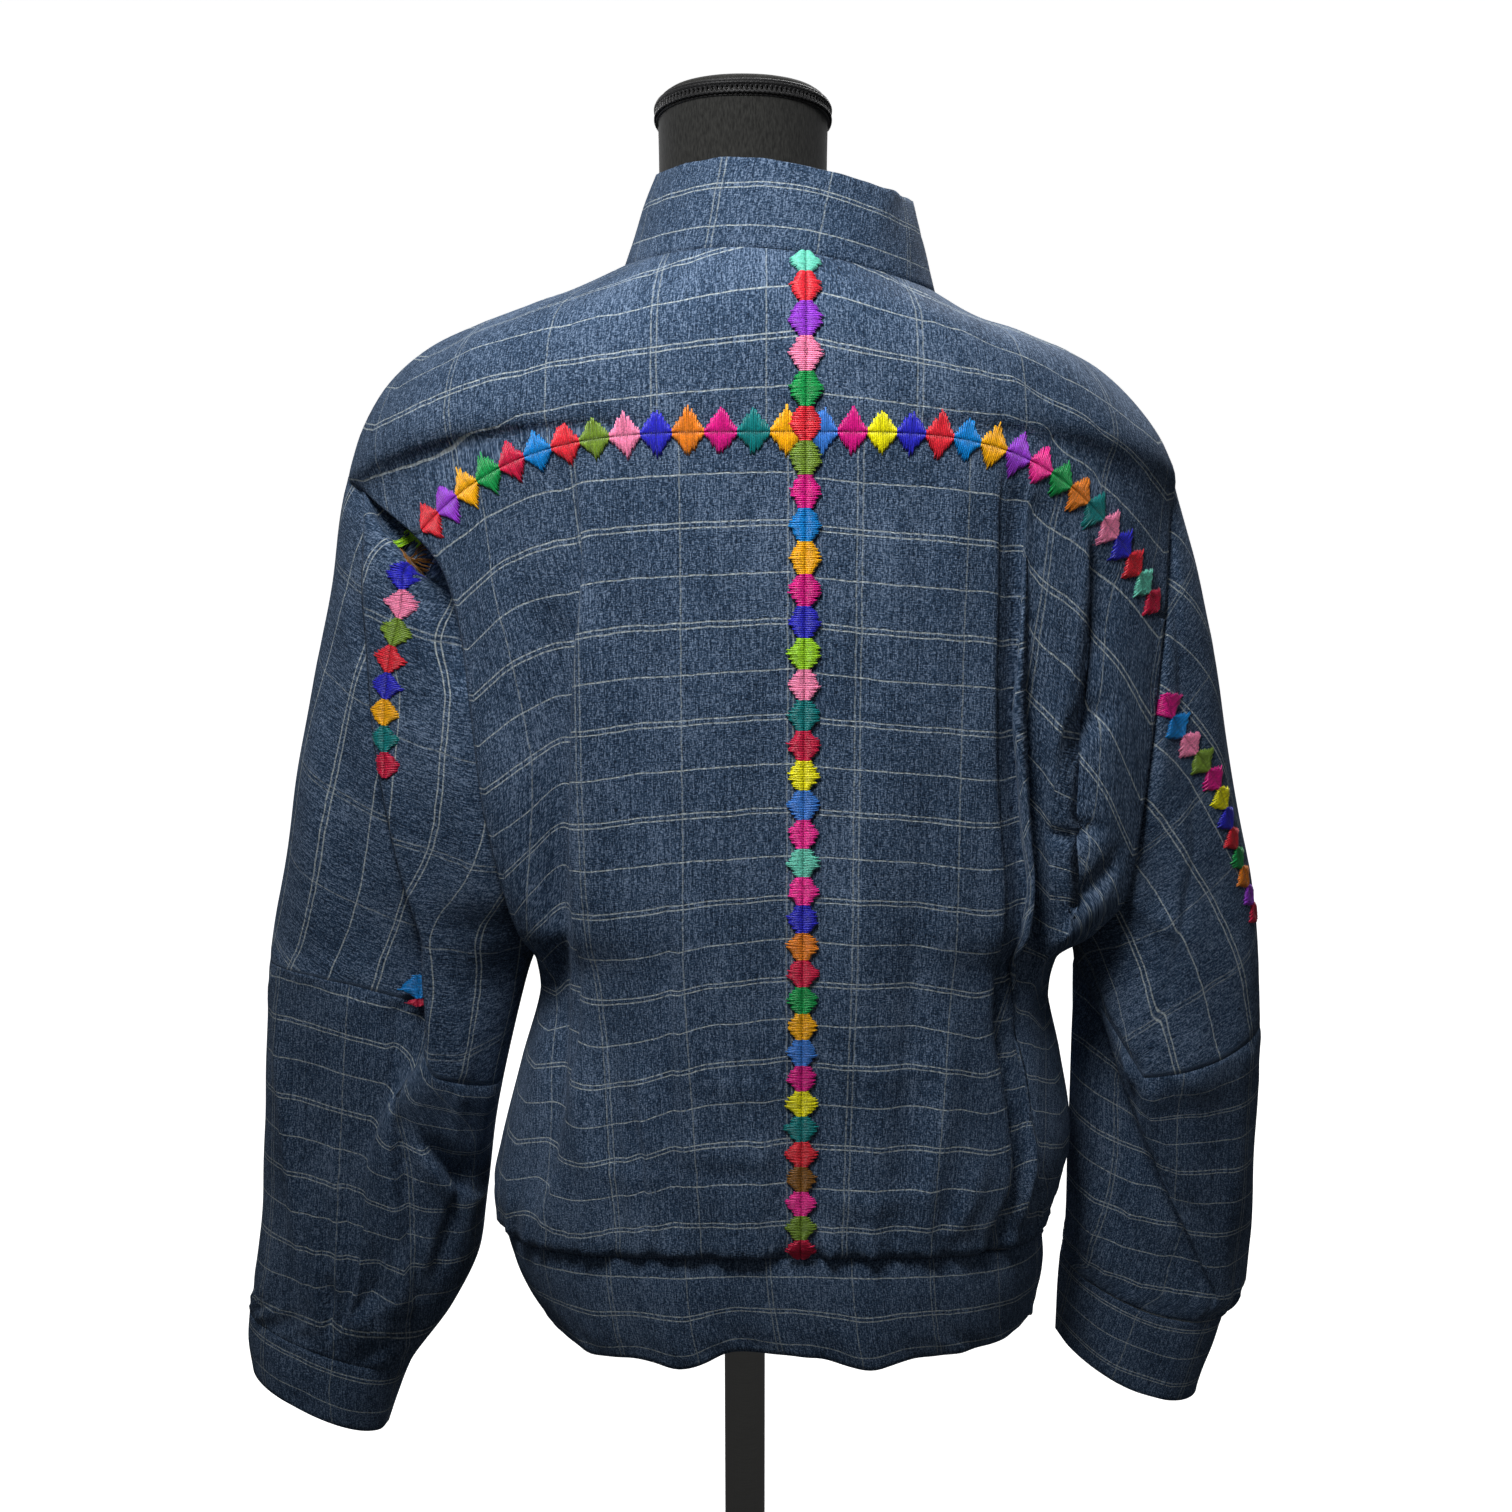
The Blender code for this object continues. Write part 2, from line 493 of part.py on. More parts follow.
def cloth_solid(name, surface, edges=(), thickness=WALL, spec=CLOTH):
    """A closed wall: the surface is its outer face and the wall grows inwards. Both faces split alike."""
    outer = surface.inset(edges, SEAM_GAP)
    inner = outer - surface.normals * thickness
    rows, cols = outer.shape[:2]
    points = np.concatenate([outer.reshape(-1, 3), inner.reshape(-1, 3)])
    offset = rows * cols
    faces = []

    def at(row, col, inside):
        return row * cols + col + (offset if inside else 0)

    for row in range(rows - 1):
        for col in range(cols - 1):
            for inside in (False, True):
                quad = [at(row, col, inside), at(row, col + 1, inside), at(row + 1, col + 1, inside),
                        at(row + 1, col, inside)]
                faces.append([quad[0], quad[3], quad[2], quad[1]] if inside else quad)
    for col in range(cols - 1):
        faces.append([at(0, col, False), at(0, col, True), at(0, col + 1, True), at(0, col + 1, False)])
        last = rows - 1
        faces.append([at(last, col, False), at(last, col + 1, False), at(last, col + 1, True),
                      at(last, col, True)])
    for row in range(rows - 1):
        faces.append([at(row, 0, False), at(row + 1, 0, False), at(row + 1, 0, True), at(row, 0, True)])
        last = cols - 1
        faces.append([at(row, last, False), at(row, last, True), at(row + 1, last, True),
                      at(row + 1, last, False)])
    return mesh_object(name, points, faces, spec)


ALL_ROUND = ("top", "bottom", "start", "stop")
OPEN_EDGES = (("top", "sleeve_upper"), ("bottom", "cuff"))
PARTS = {"inner": 6, "outer": 4, "front": 8}


def panel_surface(grid, places, centre_last):
    """A body panel's surface, with its normals square to the seams at the centre and at the side."""
    surface = Surface(grid)
    turn = columns_of(BODY_ROWS, BODY_COLUMNS)["turn"]
    opened = np.clip(soft_curve(np.arange(len(turn)), turn, places) / FULL_TURN, 0, 1)
    centre, side = (-1, 0) if centre_last else (0, -1)
    surface.square(centre, 0, 0.0)
    surface.square(side, 1, smooth_step(opened * 3))
    return surface


def build_backs():
    """Four back panels, parted at the centre back and under the chain across the blades."""
    for left in (True, False):
        side = "left" if left else "right"
        grid, places = Panel(left, -1).grid(PARTS)
        if left:
            grid = grid[:, ::-1]
        whole = panel_surface(grid, places, left)
        split = int(np.where(places == BAND_ROW)[0][0])
        cloth_solid("back_upper_" + side, whole.rows(0, split + 1), edges=ALL_ROUND)
        cloth_solid("back_lower_" + side, whole.rows(split, len(grid)), edges=ALL_ROUND)


def build_fronts():
    """Two front panels, from the shoulder seam, armhole and side seam to the centre front."""
    for left in (True, False):
        grid, places = Panel(left, 1).grid(PARTS)
        if not left:
            grid = grid[:, ::-1]
        cloth_solid("front_" + ("left" if left else "right"), panel_surface(grid, places, not left),
                    edges=ALL_ROUND)


def build_sleeves():
    """Each sleeve as one surface, parted at the elbow seam and at the cuff, closed along its inner edge."""
    for left in (True, False):
        sleeve = Sleeve(left)
        grid, places = sleeve.grid()
        whole = Surface(grid[:, ::-1] if left else grid)
        opened = smooth_step(np.array([sleeve.read("gap", row) for row in places]) / 30)
        whole.square(0, 1, opened)
        whole.square(-1, 1, opened)
        for name, (first, last) in SLEEVE_PIECES.items():
            edges = [edge for edge in ALL_ROUND if (edge, name) not in OPEN_EDGES]
            start, stop = (int(np.where(places == row)[0][0]) for row in (first, last))
            cloth_solid(name + ("_left" if left else "_right"), whole.rows(start, stop + 1), edges=edges)


def band_section(row, steps):
    """One section of the collar or waistband, from centre front round the left and back to centre front."""
    back_z, back_y, front_z, front_y, left_x, left_z, right_x, right_z, left_droop, right_droop, rise = row
    points = []
    quarters = [(True, 1, False), (True, -1, True), (False, -1, False), (False, 1, True)]
    for left, front, inwards in quarters:
        centre = np.array([CENTRE_FRONT_X, front_y, front_z] if front > 0 else [CENTRE_BACK_X, back_y, back_z])
        edge = np.array([left_x if left else right_x, 0.0, left_z if left else right_z])
        angle = np.linspace(0, math.pi / 2, steps + 1)
        angle = angle[::-1] if inwards else angle
        share = np.sin(angle) ** (2 / ROUNDNESS)
        droop = FRONT_DROOP if front > 0 else (left_droop if left else right_droop)
        height = (edge[2] - centre[2]) * share ** droop
        run = np.stack([centre[0] + (edge[0] - centre[0]) * share,
                        edge[1] + (centre[1] - edge[1]) * np.cos(angle),
                        centre[2] + height + rise * (left and front < 0) * np.sin(np.pi * share)], -1)
        points.append(run if not len(points) else run[1:])
    return np.concatenate(points)


def build_bands():
    for name, rows, steps, edges in (("collar", COLLAR_ROWS, 7, ("start", "stop")),
                                     ("waistband", WAISTBAND_ROWS, 11, ("start", "stop"))):
        grid = np.array([band_section(row, steps) for row in rows])[::-1]
        cloth_solid(name, Surface(grid), edges=edges, thickness=WALL * 1.5)


def chain(name, centres, across, outward):
    """A chain of satin diamonds on a line of centres, one broad point and one waist for each diamond."""
    count = len(centres)
    grid = np.zeros((count, 3, 3))
    for k in range(count):
        half = DIAMOND_WIDTH / 2 if k % 2 else DIAMOND_WAIST / 2
        for col, (reach, lift) in enumerate([(-half, 0.0), (0.0, -0.35 if k % 2 else 0.0), (half, 0.0)]):
            grid[k, col] = centres[k] + across[k] * reach + outward[k] * (THREAD_LIFT + THREAD_HEIGHT + lift)
    ribbon = Surface(grid)
    ribbon.normals = np.repeat(outward[:, None, :], 3, axis=1)
    cloth_solid(name, ribbon, thickness=THREAD_HEIGHT, spec=THREAD_PINK)


def chain_on(name, surface, path, count):
    """A chain laid on a surface along a path of (row, share) points, evenly spaced along its length."""
    path = np.array(path, float)
    knots = np.arange(len(path))
    fine = np.linspace(0, len(path) - 1, 200)
    rows, shares = soft_curve(knots, path[:, 0], fine), soft_curve(knots, path[:, 1], fine)
    line = np.array([surface(row, share) for row, share in zip(rows, shares)])
    length = np.concatenate([[0], np.cumsum(np.linalg.norm(np.diff(line, axis=0), axis=1))])
    even = np.linspace(0, length[-1], 2 * count + 1)
    rows, shares = np.interp(even, length, rows), np.interp(even, length, shares)
    centres = np.array([surface(row, share) for row, share in zip(rows, shares)])
    outward = []
    for row, share in zip(rows, shares):
        down = surface(row + 0.05, share) - surface(row - 0.05, share)
        along = surface(row, share + 0.01) - surface(row, share - 0.01)
        outward.append(unit(np.cross(down, along)))
    outward = np.array(outward)
    outward *= np.where(outward[:, 1] > 0, -1.0, 1.0)[:, None]
    across = unit(np.cross(outward, np.gradient(centres, axis=0)))
    chain(name, centres, across, outward)


def build_chains():
    """The satin-stitch chains: down the centre back, out across the blades and on down each sleeve."""
    for left in (True, False):
        panel = Panel(left, -1)
        side = "left" if left else "right"
        chain_on("chain_back_" + side, lambda row, share: panel.base(row, share),
                 [(BAND_ROW, 14 / 200), (BAND_ROW, 0.5), (BAND_ROW, 0.985)], 14 if left else 16)
        if not left:
            chain_on("chain_centre_back", lambda row, share: panel.base(row, share),
                     [(0.06, 0.0), (BAND_ROW, 0.0), (14, 0.0), (19.9, 0.0)], 34)
    for left, path, count in (
            (True, [(1.35, 0.30), (2.0, 0.42), (3.0, 0.50), (4.2, 0.56)], 8),
            (False, [(3.3, 0.38), (4.0, 0.54), (4.8, 0.68), (5.8, 0.84), (6.8, 0.93)], 11)):
        sleeve = Sleeve(left)
        chain_on("chain_sleeve_" + ("left" if left else "right"),
                 lambda row, share: sleeve.half(row, share, False), path, count)


def build_front_band():
    """The button band laid over the meeting fronts and the waistband, and its buttons."""
    panel = Panel(False, 1)
    rows = np.linspace(0.08, len(BODY_ROWS) - 1, 20)
    line = [panel.base(row, 0.0) for row in rows]
    for row in WAISTBAND_ROWS[::-1][1:]:
        line.append(np.array([CENTRE_FRONT_X, row[3], row[2]]))
    line = np.array(line)
    line[-1, 2] += 2.0
    tangent = unit(np.gradient(line, axis=0))
    outward = np.stack([np.zeros(len(line)), -tangent[:, 2], tangent[:, 1]], -1)
    lift = BUTTON_BAND_LIFT + BUTTON_BAND_WALL
    grid = np.stack([line + outward * lift + np.array([shift, 0, 0])
                     for shift in (BUTTON_BAND_WIDTH / 2, 0, -BUTTON_BAND_WIDTH / 2)], axis=1)
    band = Surface(grid)
    band.normals = np.repeat(outward[:, None, :], 3, axis=1)
    cloth_solid("button_band", band, thickness=BUTTON_BAND_WALL)
    length = np.concatenate([[0], np.cumsum(np.linalg.norm(np.diff(line, axis=0), axis=1))])
    for k, place in enumerate(np.linspace(length[2], length[-1] - 26, BUTTONS)):
        centre = np.array([np.interp(place, length, line[:, axis]) for axis in range(3)])
        normal = unit(np.array([np.interp(place, length, outward[:, axis]) for axis in range(3)]))
        build_button(f"button_{k + 1}", centre + normal * (lift + SEAM_GAP), normal)


def build_button(name, seat, normal):
    """A plain round button with a rolled rim, standing on its seat along the normal."""
    up = normal
    side = np.array([1.0, 0.0, 0.0])
    over = np.cross(up, side)
    sections = []
    for radius, height in [(0.86, 0.0), (1.0, 0.35), (1.0, 0.8), (0.86, 1.0), (0.72, 0.8)]:
        angle = np.linspace(0, 2 * math.pi, BUTTON_SIDES, endpoint=False)[:, None]
        sections.append(seat + up * height * BUTTON_HEIGHT
                        + BUTTON_RADIUS * radius * (np.cos(angle) * side + np.sin(angle) * over))
    closed_loft(name, sections, BUTTON_NAVY)


def form_section(z, half_width, half_depth, shift, tilt=0.0):
    angle = np.linspace(0, 2 * math.pi, CANVAS_SIDES, endpoint=False)
    x = half_width * np.sign(np.cos(angle)) * np.abs(np.cos(angle)) ** 0.9
    y = shift + half_depth * np.sign(np.sin(angle)) * np.abs(np.sin(angle)) ** 0.9
    return np.stack([x, y, z - tilt * y], -1)


def closed_loft(name, sections, spec):
    """A solid through closed sections, capped with a fan at each end."""
    sides = len(sections[0])
    points = np.concatenate([np.concatenate(sections), [np.mean(sections[0], axis=0)],
                             [np.mean(sections[-1], axis=0)]])
    faces = []
    for row in range(len(sections) - 1):
        for col in range(sides):
            nxt = (col + 1) % sides
            faces.append([row * sides + col, row * sides + nxt, (row + 1) * sides + nxt,
                          (row + 1) * sides + col])
    low, high, top = len(points) - 2, len(points) - 1, (len(sections) - 1) * sides
    for col in range(sides):
        nxt = (col + 1) % sides
        faces.append([low, nxt, col])
        faces.append([high, top + col, top + nxt])
    return mesh_object(name, points, faces, spec)


def build_form():
    sections = []
    for z, half_width, half_depth, shift in FORM_ROWS:
        tilt = NECK_TILT * smooth_step((z - 1020) / 60)
        sections.append(form_section(z, half_width, half_depth, shift, tilt))
    z, half_width, half_depth, shift = FORM_ROWS[-1]
    sections.append(form_section(z + 4, half_width - 6, half_depth - 6, shift, NECK_TILT))
    sections.append(form_section(z + CAP_RISE, half_width - 20, half_depth - 20, shift, NECK_TILT))
    closed_loft("dress_form", sections, FORM_BLACK)
    ring = form_section(z - 4, half_width + BRAID_RADIUS + 0.5, half_depth + BRAID_RADIUS + 0.5, shift, NECK_TILT)
    build_ring("neck_braid", ring, BRAID_RADIUS, BRAID_BLACK)


def build_ring(name, path, radius, spec, sides=6):
    """A closed round cord along a closed path."""
    count = len(path)
    points, faces = [], []
    for k in range(count):
        run = path[(k + 1) % count] - path[k - 1]
        run /= np.linalg.norm(run)
        side = np.cross(run, [0, 0, 1.0])
        side /= np.linalg.norm(side)
        up = np.cross(side, run)
        for step in range(sides):
            angle = 2 * math.pi * step / sides
            points.append(path[k] + radius * (math.cos(angle) * side + math.sin(angle) * up))
    for k in range(count):
        for step in range(sides):
            a, b = k * sides + step, k * sides + (step + 1) % sides
            c, d = ((k + 1) % count) * sides + (step + 1) % sides, ((k + 1) % count) * sides + step
            faces.append([a, b, c, d])
    return mesh_object(name, np.array(points), faces, spec)


def turned(name, profile, spec, centre=(0.0, 0.0), sides=28):
    """A solid of revolution about a vertical axis from (radius, height) pairs, capped at both ends."""
    sections = []
    for radius, height in profile:
        angle = np.linspace(0, 2 * math.pi, sides, endpoint=False)
        sections.append(np.stack([centre[0] + radius * np.cos(angle), centre[1] + radius * np.sin(angle),
                                  np.full(sides, height)], -1))
    return closed_loft(name, sections, spec)


def build_stand():
    turned("stand_base", [(BASE_RADIUS, 0), (BASE_RADIUS, BASE_HEIGHT * 0.6), (BASE_RADIUS - 4, BASE_HEIGHT),
                          (24, BASE_HEIGHT + 5), (18, BASE_HEIGHT + 26)], BASE_BLACK)
    turned("stand_pole", [(POLE_RADIUS, BASE_HEIGHT + 26 + SEAM_GAP),
                          (POLE_RADIUS, FORM_ROWS[0][0] - SEAM_GAP)], STAND_STEEL, sides=24)


def main():
    clear_scene()
    build_backs()
    build_fronts()
    build_sleeves()
    build_bands()
    build_chains()
    build_front_band()
    build_form()
    build_stand()


main()
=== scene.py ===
"""Embroidered indigo blouson on a limbless dress form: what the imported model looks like.

Tables and sizes are in millimetres unless a name says otherwise. The jacket's back faces -Y.
"""

import math

import bmesh
import bpy
import numpy as np
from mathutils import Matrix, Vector
from mathutils.bvhtree import BVHTree


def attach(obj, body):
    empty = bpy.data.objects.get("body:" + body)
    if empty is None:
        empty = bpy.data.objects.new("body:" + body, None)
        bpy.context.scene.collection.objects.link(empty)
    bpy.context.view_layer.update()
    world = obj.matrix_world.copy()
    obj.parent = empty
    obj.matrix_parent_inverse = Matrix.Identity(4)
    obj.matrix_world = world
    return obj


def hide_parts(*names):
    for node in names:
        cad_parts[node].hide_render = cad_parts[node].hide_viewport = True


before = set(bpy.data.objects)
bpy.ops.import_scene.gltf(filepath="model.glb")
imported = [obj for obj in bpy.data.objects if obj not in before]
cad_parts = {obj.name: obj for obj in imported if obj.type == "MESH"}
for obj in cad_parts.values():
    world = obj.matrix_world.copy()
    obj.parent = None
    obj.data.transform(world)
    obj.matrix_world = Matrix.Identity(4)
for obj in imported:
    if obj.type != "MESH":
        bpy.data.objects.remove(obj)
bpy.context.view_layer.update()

MM = 0.001
TINY = 1e-6
BODY = "root"

# The jacket's cut, the same sections as its solids have
WALL = 1.05
CENTRE_BACK_X = 35.5
CENTRE_FRONT_X = 13.0
ROUNDNESS = 2.5
FRONT_DROOP = 2.2
FOLD_DEPTH = 11.0
FOLD_REACH = 5.0
HOOK_RADIUS = 3.6
FULL_TURN = 16.0
GATHERS = 6
GATHER_DEPTH = 1.6
DROP_LIFT = 0.75
DIP_PLACE = 0.32
SEAM_GAP = 0.3
CLOTH_STEP = 4.0
FOLD_MIDDLE = 9.5
POUCH = 3.2
CREASE_GAIN = 1.25
SEAM_ALLOWANCE = 12.0
EDGE_ROUND = 0.42
BAND_WALL = WALL * 1.5
# Where the panels open at the armhole, a section stops short of its edge by this share and hooks under it
EDGE_SHARE = 0.06
HOOKED_FROM = 0.45
HOOK_SHAPE = [(HOOK_RADIUS, HOOK_RADIUS), (0.0, 2 * HOOK_RADIUS), (-FULL_TURN, 2.15 * HOOK_RADIUS)]
FRONT_STATIONS = 9
FRONT_SWELL = 5.0
# Even cuts of a sleeve's section inside its fold, outside it and round its front, and where its outer edge is
SLEEVE_CUTS = (4, 6, 8)
SLEEVE_OUTER_STATION = 19
# Pleats at a seam: gap, reach and height
HEM_PLEATS = (11.0, 34.0, 3.0)
FRONT_HEM_PLEATS = (11.0, 36.0, 3.0)
SLEEVE_PLEATS = (11.0, 30.0, 1.0)
BAND_PLEATS = (12.0, 16.0, 0.9)

BODY_COLUMNS = ("back_z", "back_y", "front_z", "front_y", "left_x", "left_gap", "left_z",
                "right_x", "right_gap", "right_z", "turn", "left_droop", "right_droop", "rise")
BODY_ROWS = [
    (1015, -88, 955, 82, -72, 0, 1009, 117, 0, 993, 0, 2.2, 1.2, 4),
    (1000, -108, 943, 96, -104, 0, 995, 140, 0, 980, 0, 2.4, 1.5, 3),
    (984, -118, 930, 104, -150, 0, 979, 178, 0, 966, 0, 2.6, 1.8, 2),
    (966, -123, 916, 109, -192, 0, 961, 213, 0, 951, 0, 2.8, 2.1, 1),
    (950, -125, 904, 112, -222, 0, 935, 243, 0, 925, 0, 3.0, 2.5, 0),
    (936, -126, 892, 114, -240, 0, 902, 262, 0, 898, 0, 3.3, 2.8, 0),
    (927, -126, 884, 115, -246, 6, 880, 269, 5, 878, 3, 3.6, 3.1, 0),
    (922, -126, 879, 115, -226, 40, 871, 260, 36, 850, 11, 3.8, 3.4, 0),
    (917, -127, 874, 116, -192, 74, 853, 253, 58, 800, 15, 4.0, 3.6, 0),
    (895, -127, 858, 117, -174, 83, 832, 250, 63, 764, 16, 3.8, 3.4, 0),
    (850, -127, 828, 118, -164, 86, 794, 247, 66, 728, 16, 3.4, 3.0, 0),
    (795, -126, 782, 119, -160, 86, 750, 244, 66, 692, 16, 3.0, 2.7, 0),
    (735, -125, 728, 119, -156, 85, 700, 241, 65, 657, 16, 2.6, 2.4, 0),
    (680, -124, 678, 118, -150, 78, 650, 237, 62, 624, 13, 2.2, 2.2, 0),
    (630, -123, 630, 117, -143, 62, 604, 222, 55, 600, 9, 2.2, 2.2, 0),
    (592, -122, 592, 116, -135, 24, 574, 203, 22, 576, 4, 2.2, 2.2, 0),
    (555, -121, 555, 116, -135, 0, 548, 201, 0, 548, 0, 2.2, 2.2, 0),
    (505, -120, 505, 116, -149, 0, 495, 211, 0, 500, 0, 2.2, 2.2, 0),
    (450, -121, 450, 117, -164, 0, 438, 219, 0, 452, 0, 2.2, 2.2, 0),
    (425, -121, 420, 116, -170, 0, 408, 214, 0, 420, 0, 2.2, 2.2, 0),
    (408, -115, 396, 108, -163, 0, 383, 201, 0, 384, 0, 2.2, 2.2, 0),
]
LAST_ROW = len(BODY_ROWS) - 1
BAND_ROW = 8

FOLD_COLUMNS = ("row", "left", "left_fold", "right", "right_fold", "edge", "rim", "hollow")
FOLD_ROWS = [
    (0, 0.62, 0.0, 0.50, 0.0, 0.62, 0.80, 0),
    (8, 0.60, 0.0, 0.52, 0.0, 0.61, 0.79, 0),
    (9, 0.62, 0.3, 0.52, 0.3, 0.60, 0.79, 4),
    (10, 0.64, 0.6, 0.53, 0.45, 0.61, 0.81, 8),
    (11, 0.68, 0.85, 0.54, 0.5, 0.62, 0.80, 12),
    (12, 0.71, 1.0, 0.56, 0.5, 0.66, 0.80, 17),
    (13, 0.75, 0.9, 0.60, 0.5, 0.71, 0.83, 20),
    (14, 0.78, 0.75, 0.66, 0.45, 0.78, 0.91, 18),
    (15, 0.80, 0.6, 0.71, 0.6, 0.85, 0.95, 5),
    (16, 0.81, 0.5, 0.72, 0.75, 0.88, 0.95, 0),
    (17, 0.80, 0.4, 0.73, 0.9, 0.88, 0.94, 0),
    (18, 0.80, 0.25, 0.73, 0.9, 0.88, 0.94, 0),
    (19, 0.80, 0.0, 0.70, 0.6, 0.87, 0.94, 0),
    (20, 0.80, 0.0, 0.68, 0.4, 0.86, 0.94, 0),
]
FOLD_STEPS = [
    (-5.0, -4.8, 0.0, -4.5, 0.0),
    (-3.6, -1.8, 0.3, 0.9, 0.3),
    (-2.1, -0.2, 1.1, 2.7, 2.4),
    (-0.7, 0.3, 2.1, 0.9, 4.6),
    (0.7, 0.3, 3.4, -6.8, 5.5),
    (2.1, 0.8, 4.4, -8.6, 7.5),
    (3.6, 2.4, 5.2, -6.8, 9.5),
    (5.0, 5.0, 5.5, 2.7, 11.0),
]
HOLLOW_SHAPE = [(0.14, 0.7), (0.36, 1.0), (0.64, 1.0), (0.86, 0.7)]

SLEEVE_COLUMNS = ("outer_x", "outer_z", "inner_x", "gap", "inner_z", "back_y", "front_y", "middle_y", "fold",
                  "folded", "drop", "dip")
LEFT_SLEEVE_ROWS = [
    (-246, 882, -214, 34, 862, -34, 33, 0, 0.60, 0.3, 0, 0),
    (-251, 858, -180, 64, 838, -64, 62, 0, 0.68, 0.7, 0, 0),
    (-257, 828, -161, 75, 816, -75, 74, 0, 0.70, 0.85, 0, 0),
    (-267, 784, -147, 77.7, 780, -77.7, 77.2, 0, 0.66, 1.0, 0, 0),
    (-277, 738, -141, 77.8, 735, -77.8, 77.4, 0, 0.61, 1.0, 0, 0),
    (-289, 684, -137, 73, 680, -75, 74, 0, 0.53, 1.0, 0, 0),
    (-299, 634, -132, 58, 630, -71, 71, 0, 0.46, 1.0, 0, 0),
    (-306, 604, -129, 20, 598, -68, 68, 0, 0.41, 1.0, 8, 0),
    (-311, 580, -143, 0, 556, -66, 67, 2, 0.35, 1.0, 24, 0),
    (-313, 567, -162, 0, 480, -66, 66, 4, 0.27, 1.0, 45, 0),
    (-320, 505, -169, 0, 446, -60, 74, 10, 0.40, 0.6, 20, 0),
    (-327, 440, -176, 0, 398, -54, 80, 16, 0.48, 0.5, 6, 0),
    (-334, 378, -184, 0, 352, -48, 82, 20, 0.48, 0.5, 0, 0),
    (-343, 330, -206, 0, 304, -40, 80, 22, 0.46, 0.4, 0, 0),
    (-347, 303, -236, 0, 259, -27, 69, 22, 0.45, 0.0, 0, 0),
    (-349, 281, -246, 0, 234, -27, 67, 22, 0.45, 0.0, 0, 0),
    (-347, 258, -254, 0, 211, -26, 66, 22, 0.45, 0.0, 0, 0),
]
RIGHT_SLEEVE_ROWS = [
    (268, 880, 246, 22.5, 846, -22.5, 22.5, 0, 0.60, 0.0, 0, 0),
    (276, 853, 238, 39.5, 804, -39.5, 39.5, 0, 0.60, 0.0, 0, 0),
    (285, 824, 233, 50, 770, -50, 50, 0, 0.60, 0.0, 0, 0),
    (293, 794, 230, 55, 735, -55, 55, 0, 0.60, 0.0, 0, 0),
    (302, 760, 227, 55.5, 700, -56, 58, 0, 0.60, 0.0, 0, 0),
    (311, 716, 224, 54.5, 664, -57, 60, 0, 0.60, 0.1, 0, 0),
    (323, 660, 220, 47, 632, -57, 62, 0, 0.58, 0.2, 0, 0),
    (332, 620, 208, 18, 606, -57, 64, 2, 0.55, 0.2, 0, 4),
    (339, 578, 213, 0, 586, -56, 66, 4, 0.45, 0.1, 0, 22),
    (344, 523, 219, 0, 562, -54, 70, 6, 0.32, 0.0, 0, 47),
    (348, 470, 221, 0, 502, -42, 88, 16, 0.30, -0.5, 0, 22),
    (351, 410, 223, 0, 440, -32, 96, 26, 0.43, -0.75, 0, 6),
    (354, 352, 224, 0, 380, -22, 98, 34, 0.64, -0.6, 0, 0),
    (354, 314, 224, 0, 345, -14, 94, 38, 0.78, -0.35, 0, 0),
    (341, 292, 223, 0, 332, -7, 87, 40, 0.80, 0.0, 0, 0),
    (333, 260, 222, 0, 302, -4, 86, 41, 0.80, 0.0, 0, 0),
    (325, 228, 222, 0, 272, 0, 84, 42, 0.80, 0.0, 0, 0),
]
ELBOW_ROW = 9
CUFF_ROW = 14
LAST_CUFF_ROW = 16

COLLAR_ROWS = [
    (1015.3, -88, 955.3, 82, -72, 1009.3, 117, 993.3, 2.2, 1.2, 4),
    (1031, -86, 972, 80, -66, 1026, 112, 1012, 2.2, 1.2, 4.5),
    (1047, -83, 990, 77, -60, 1044, 107, 1030, 2.2, 1.1, 5),
    (1062, -80, 1008, 74, -53, 1061, 102, 1046, 2.2, 1.1, 5.5),
]
WAISTBAND_ROWS = [
    (337, -112, 325, 104, -138, 322, 196, 322, 1.4, 1.6, 0),
    (360, -116, 348, 107, -150, 342, 200, 341, 1.7, 1.8, 0),
    (385, -117, 373, 109, -159, 364, 203, 362, 2.2, 2.2, 0),
    (407.7, -115, 395.7, 108, -163, 382.7, 201, 383.7, 2.2, 2.2, 0),
]
FORM_ROWS = [
    (372, 128, 88, 0), (400, 133, 92, 0), (480, 132, 93, 0), (580, 122, 88, 0), (680, 130, 96, 0),
    (780, 146, 106, 0), (850, 152, 106, 0), (900, 158, 98, 0), (940, 160, 84, 0), (962, 158, 70, -1),
    (974, 149, 64, -2), (981, 134, 60, -3), (989, 115, 56, -4), (996, 96, 54, -5), (1003, 74, 53, -6),
    (1012, 60, 52, -6), (1026, 53, 51, -5), (1060, 50.5, 50, -2), (1101, 51, 50, 0),
]
NECK_TILT = 0.24
CAP_RISE = 7.0
BASE_RADIUS = 150.0
BASE_HEIGHT = 14.0

# Woven lines: a single pale line, then a double one, a weft repeat of 60 mm and a warp repeat of 126 mm
WEFT_GAP = 30.0
WARP_GAP = 63.0

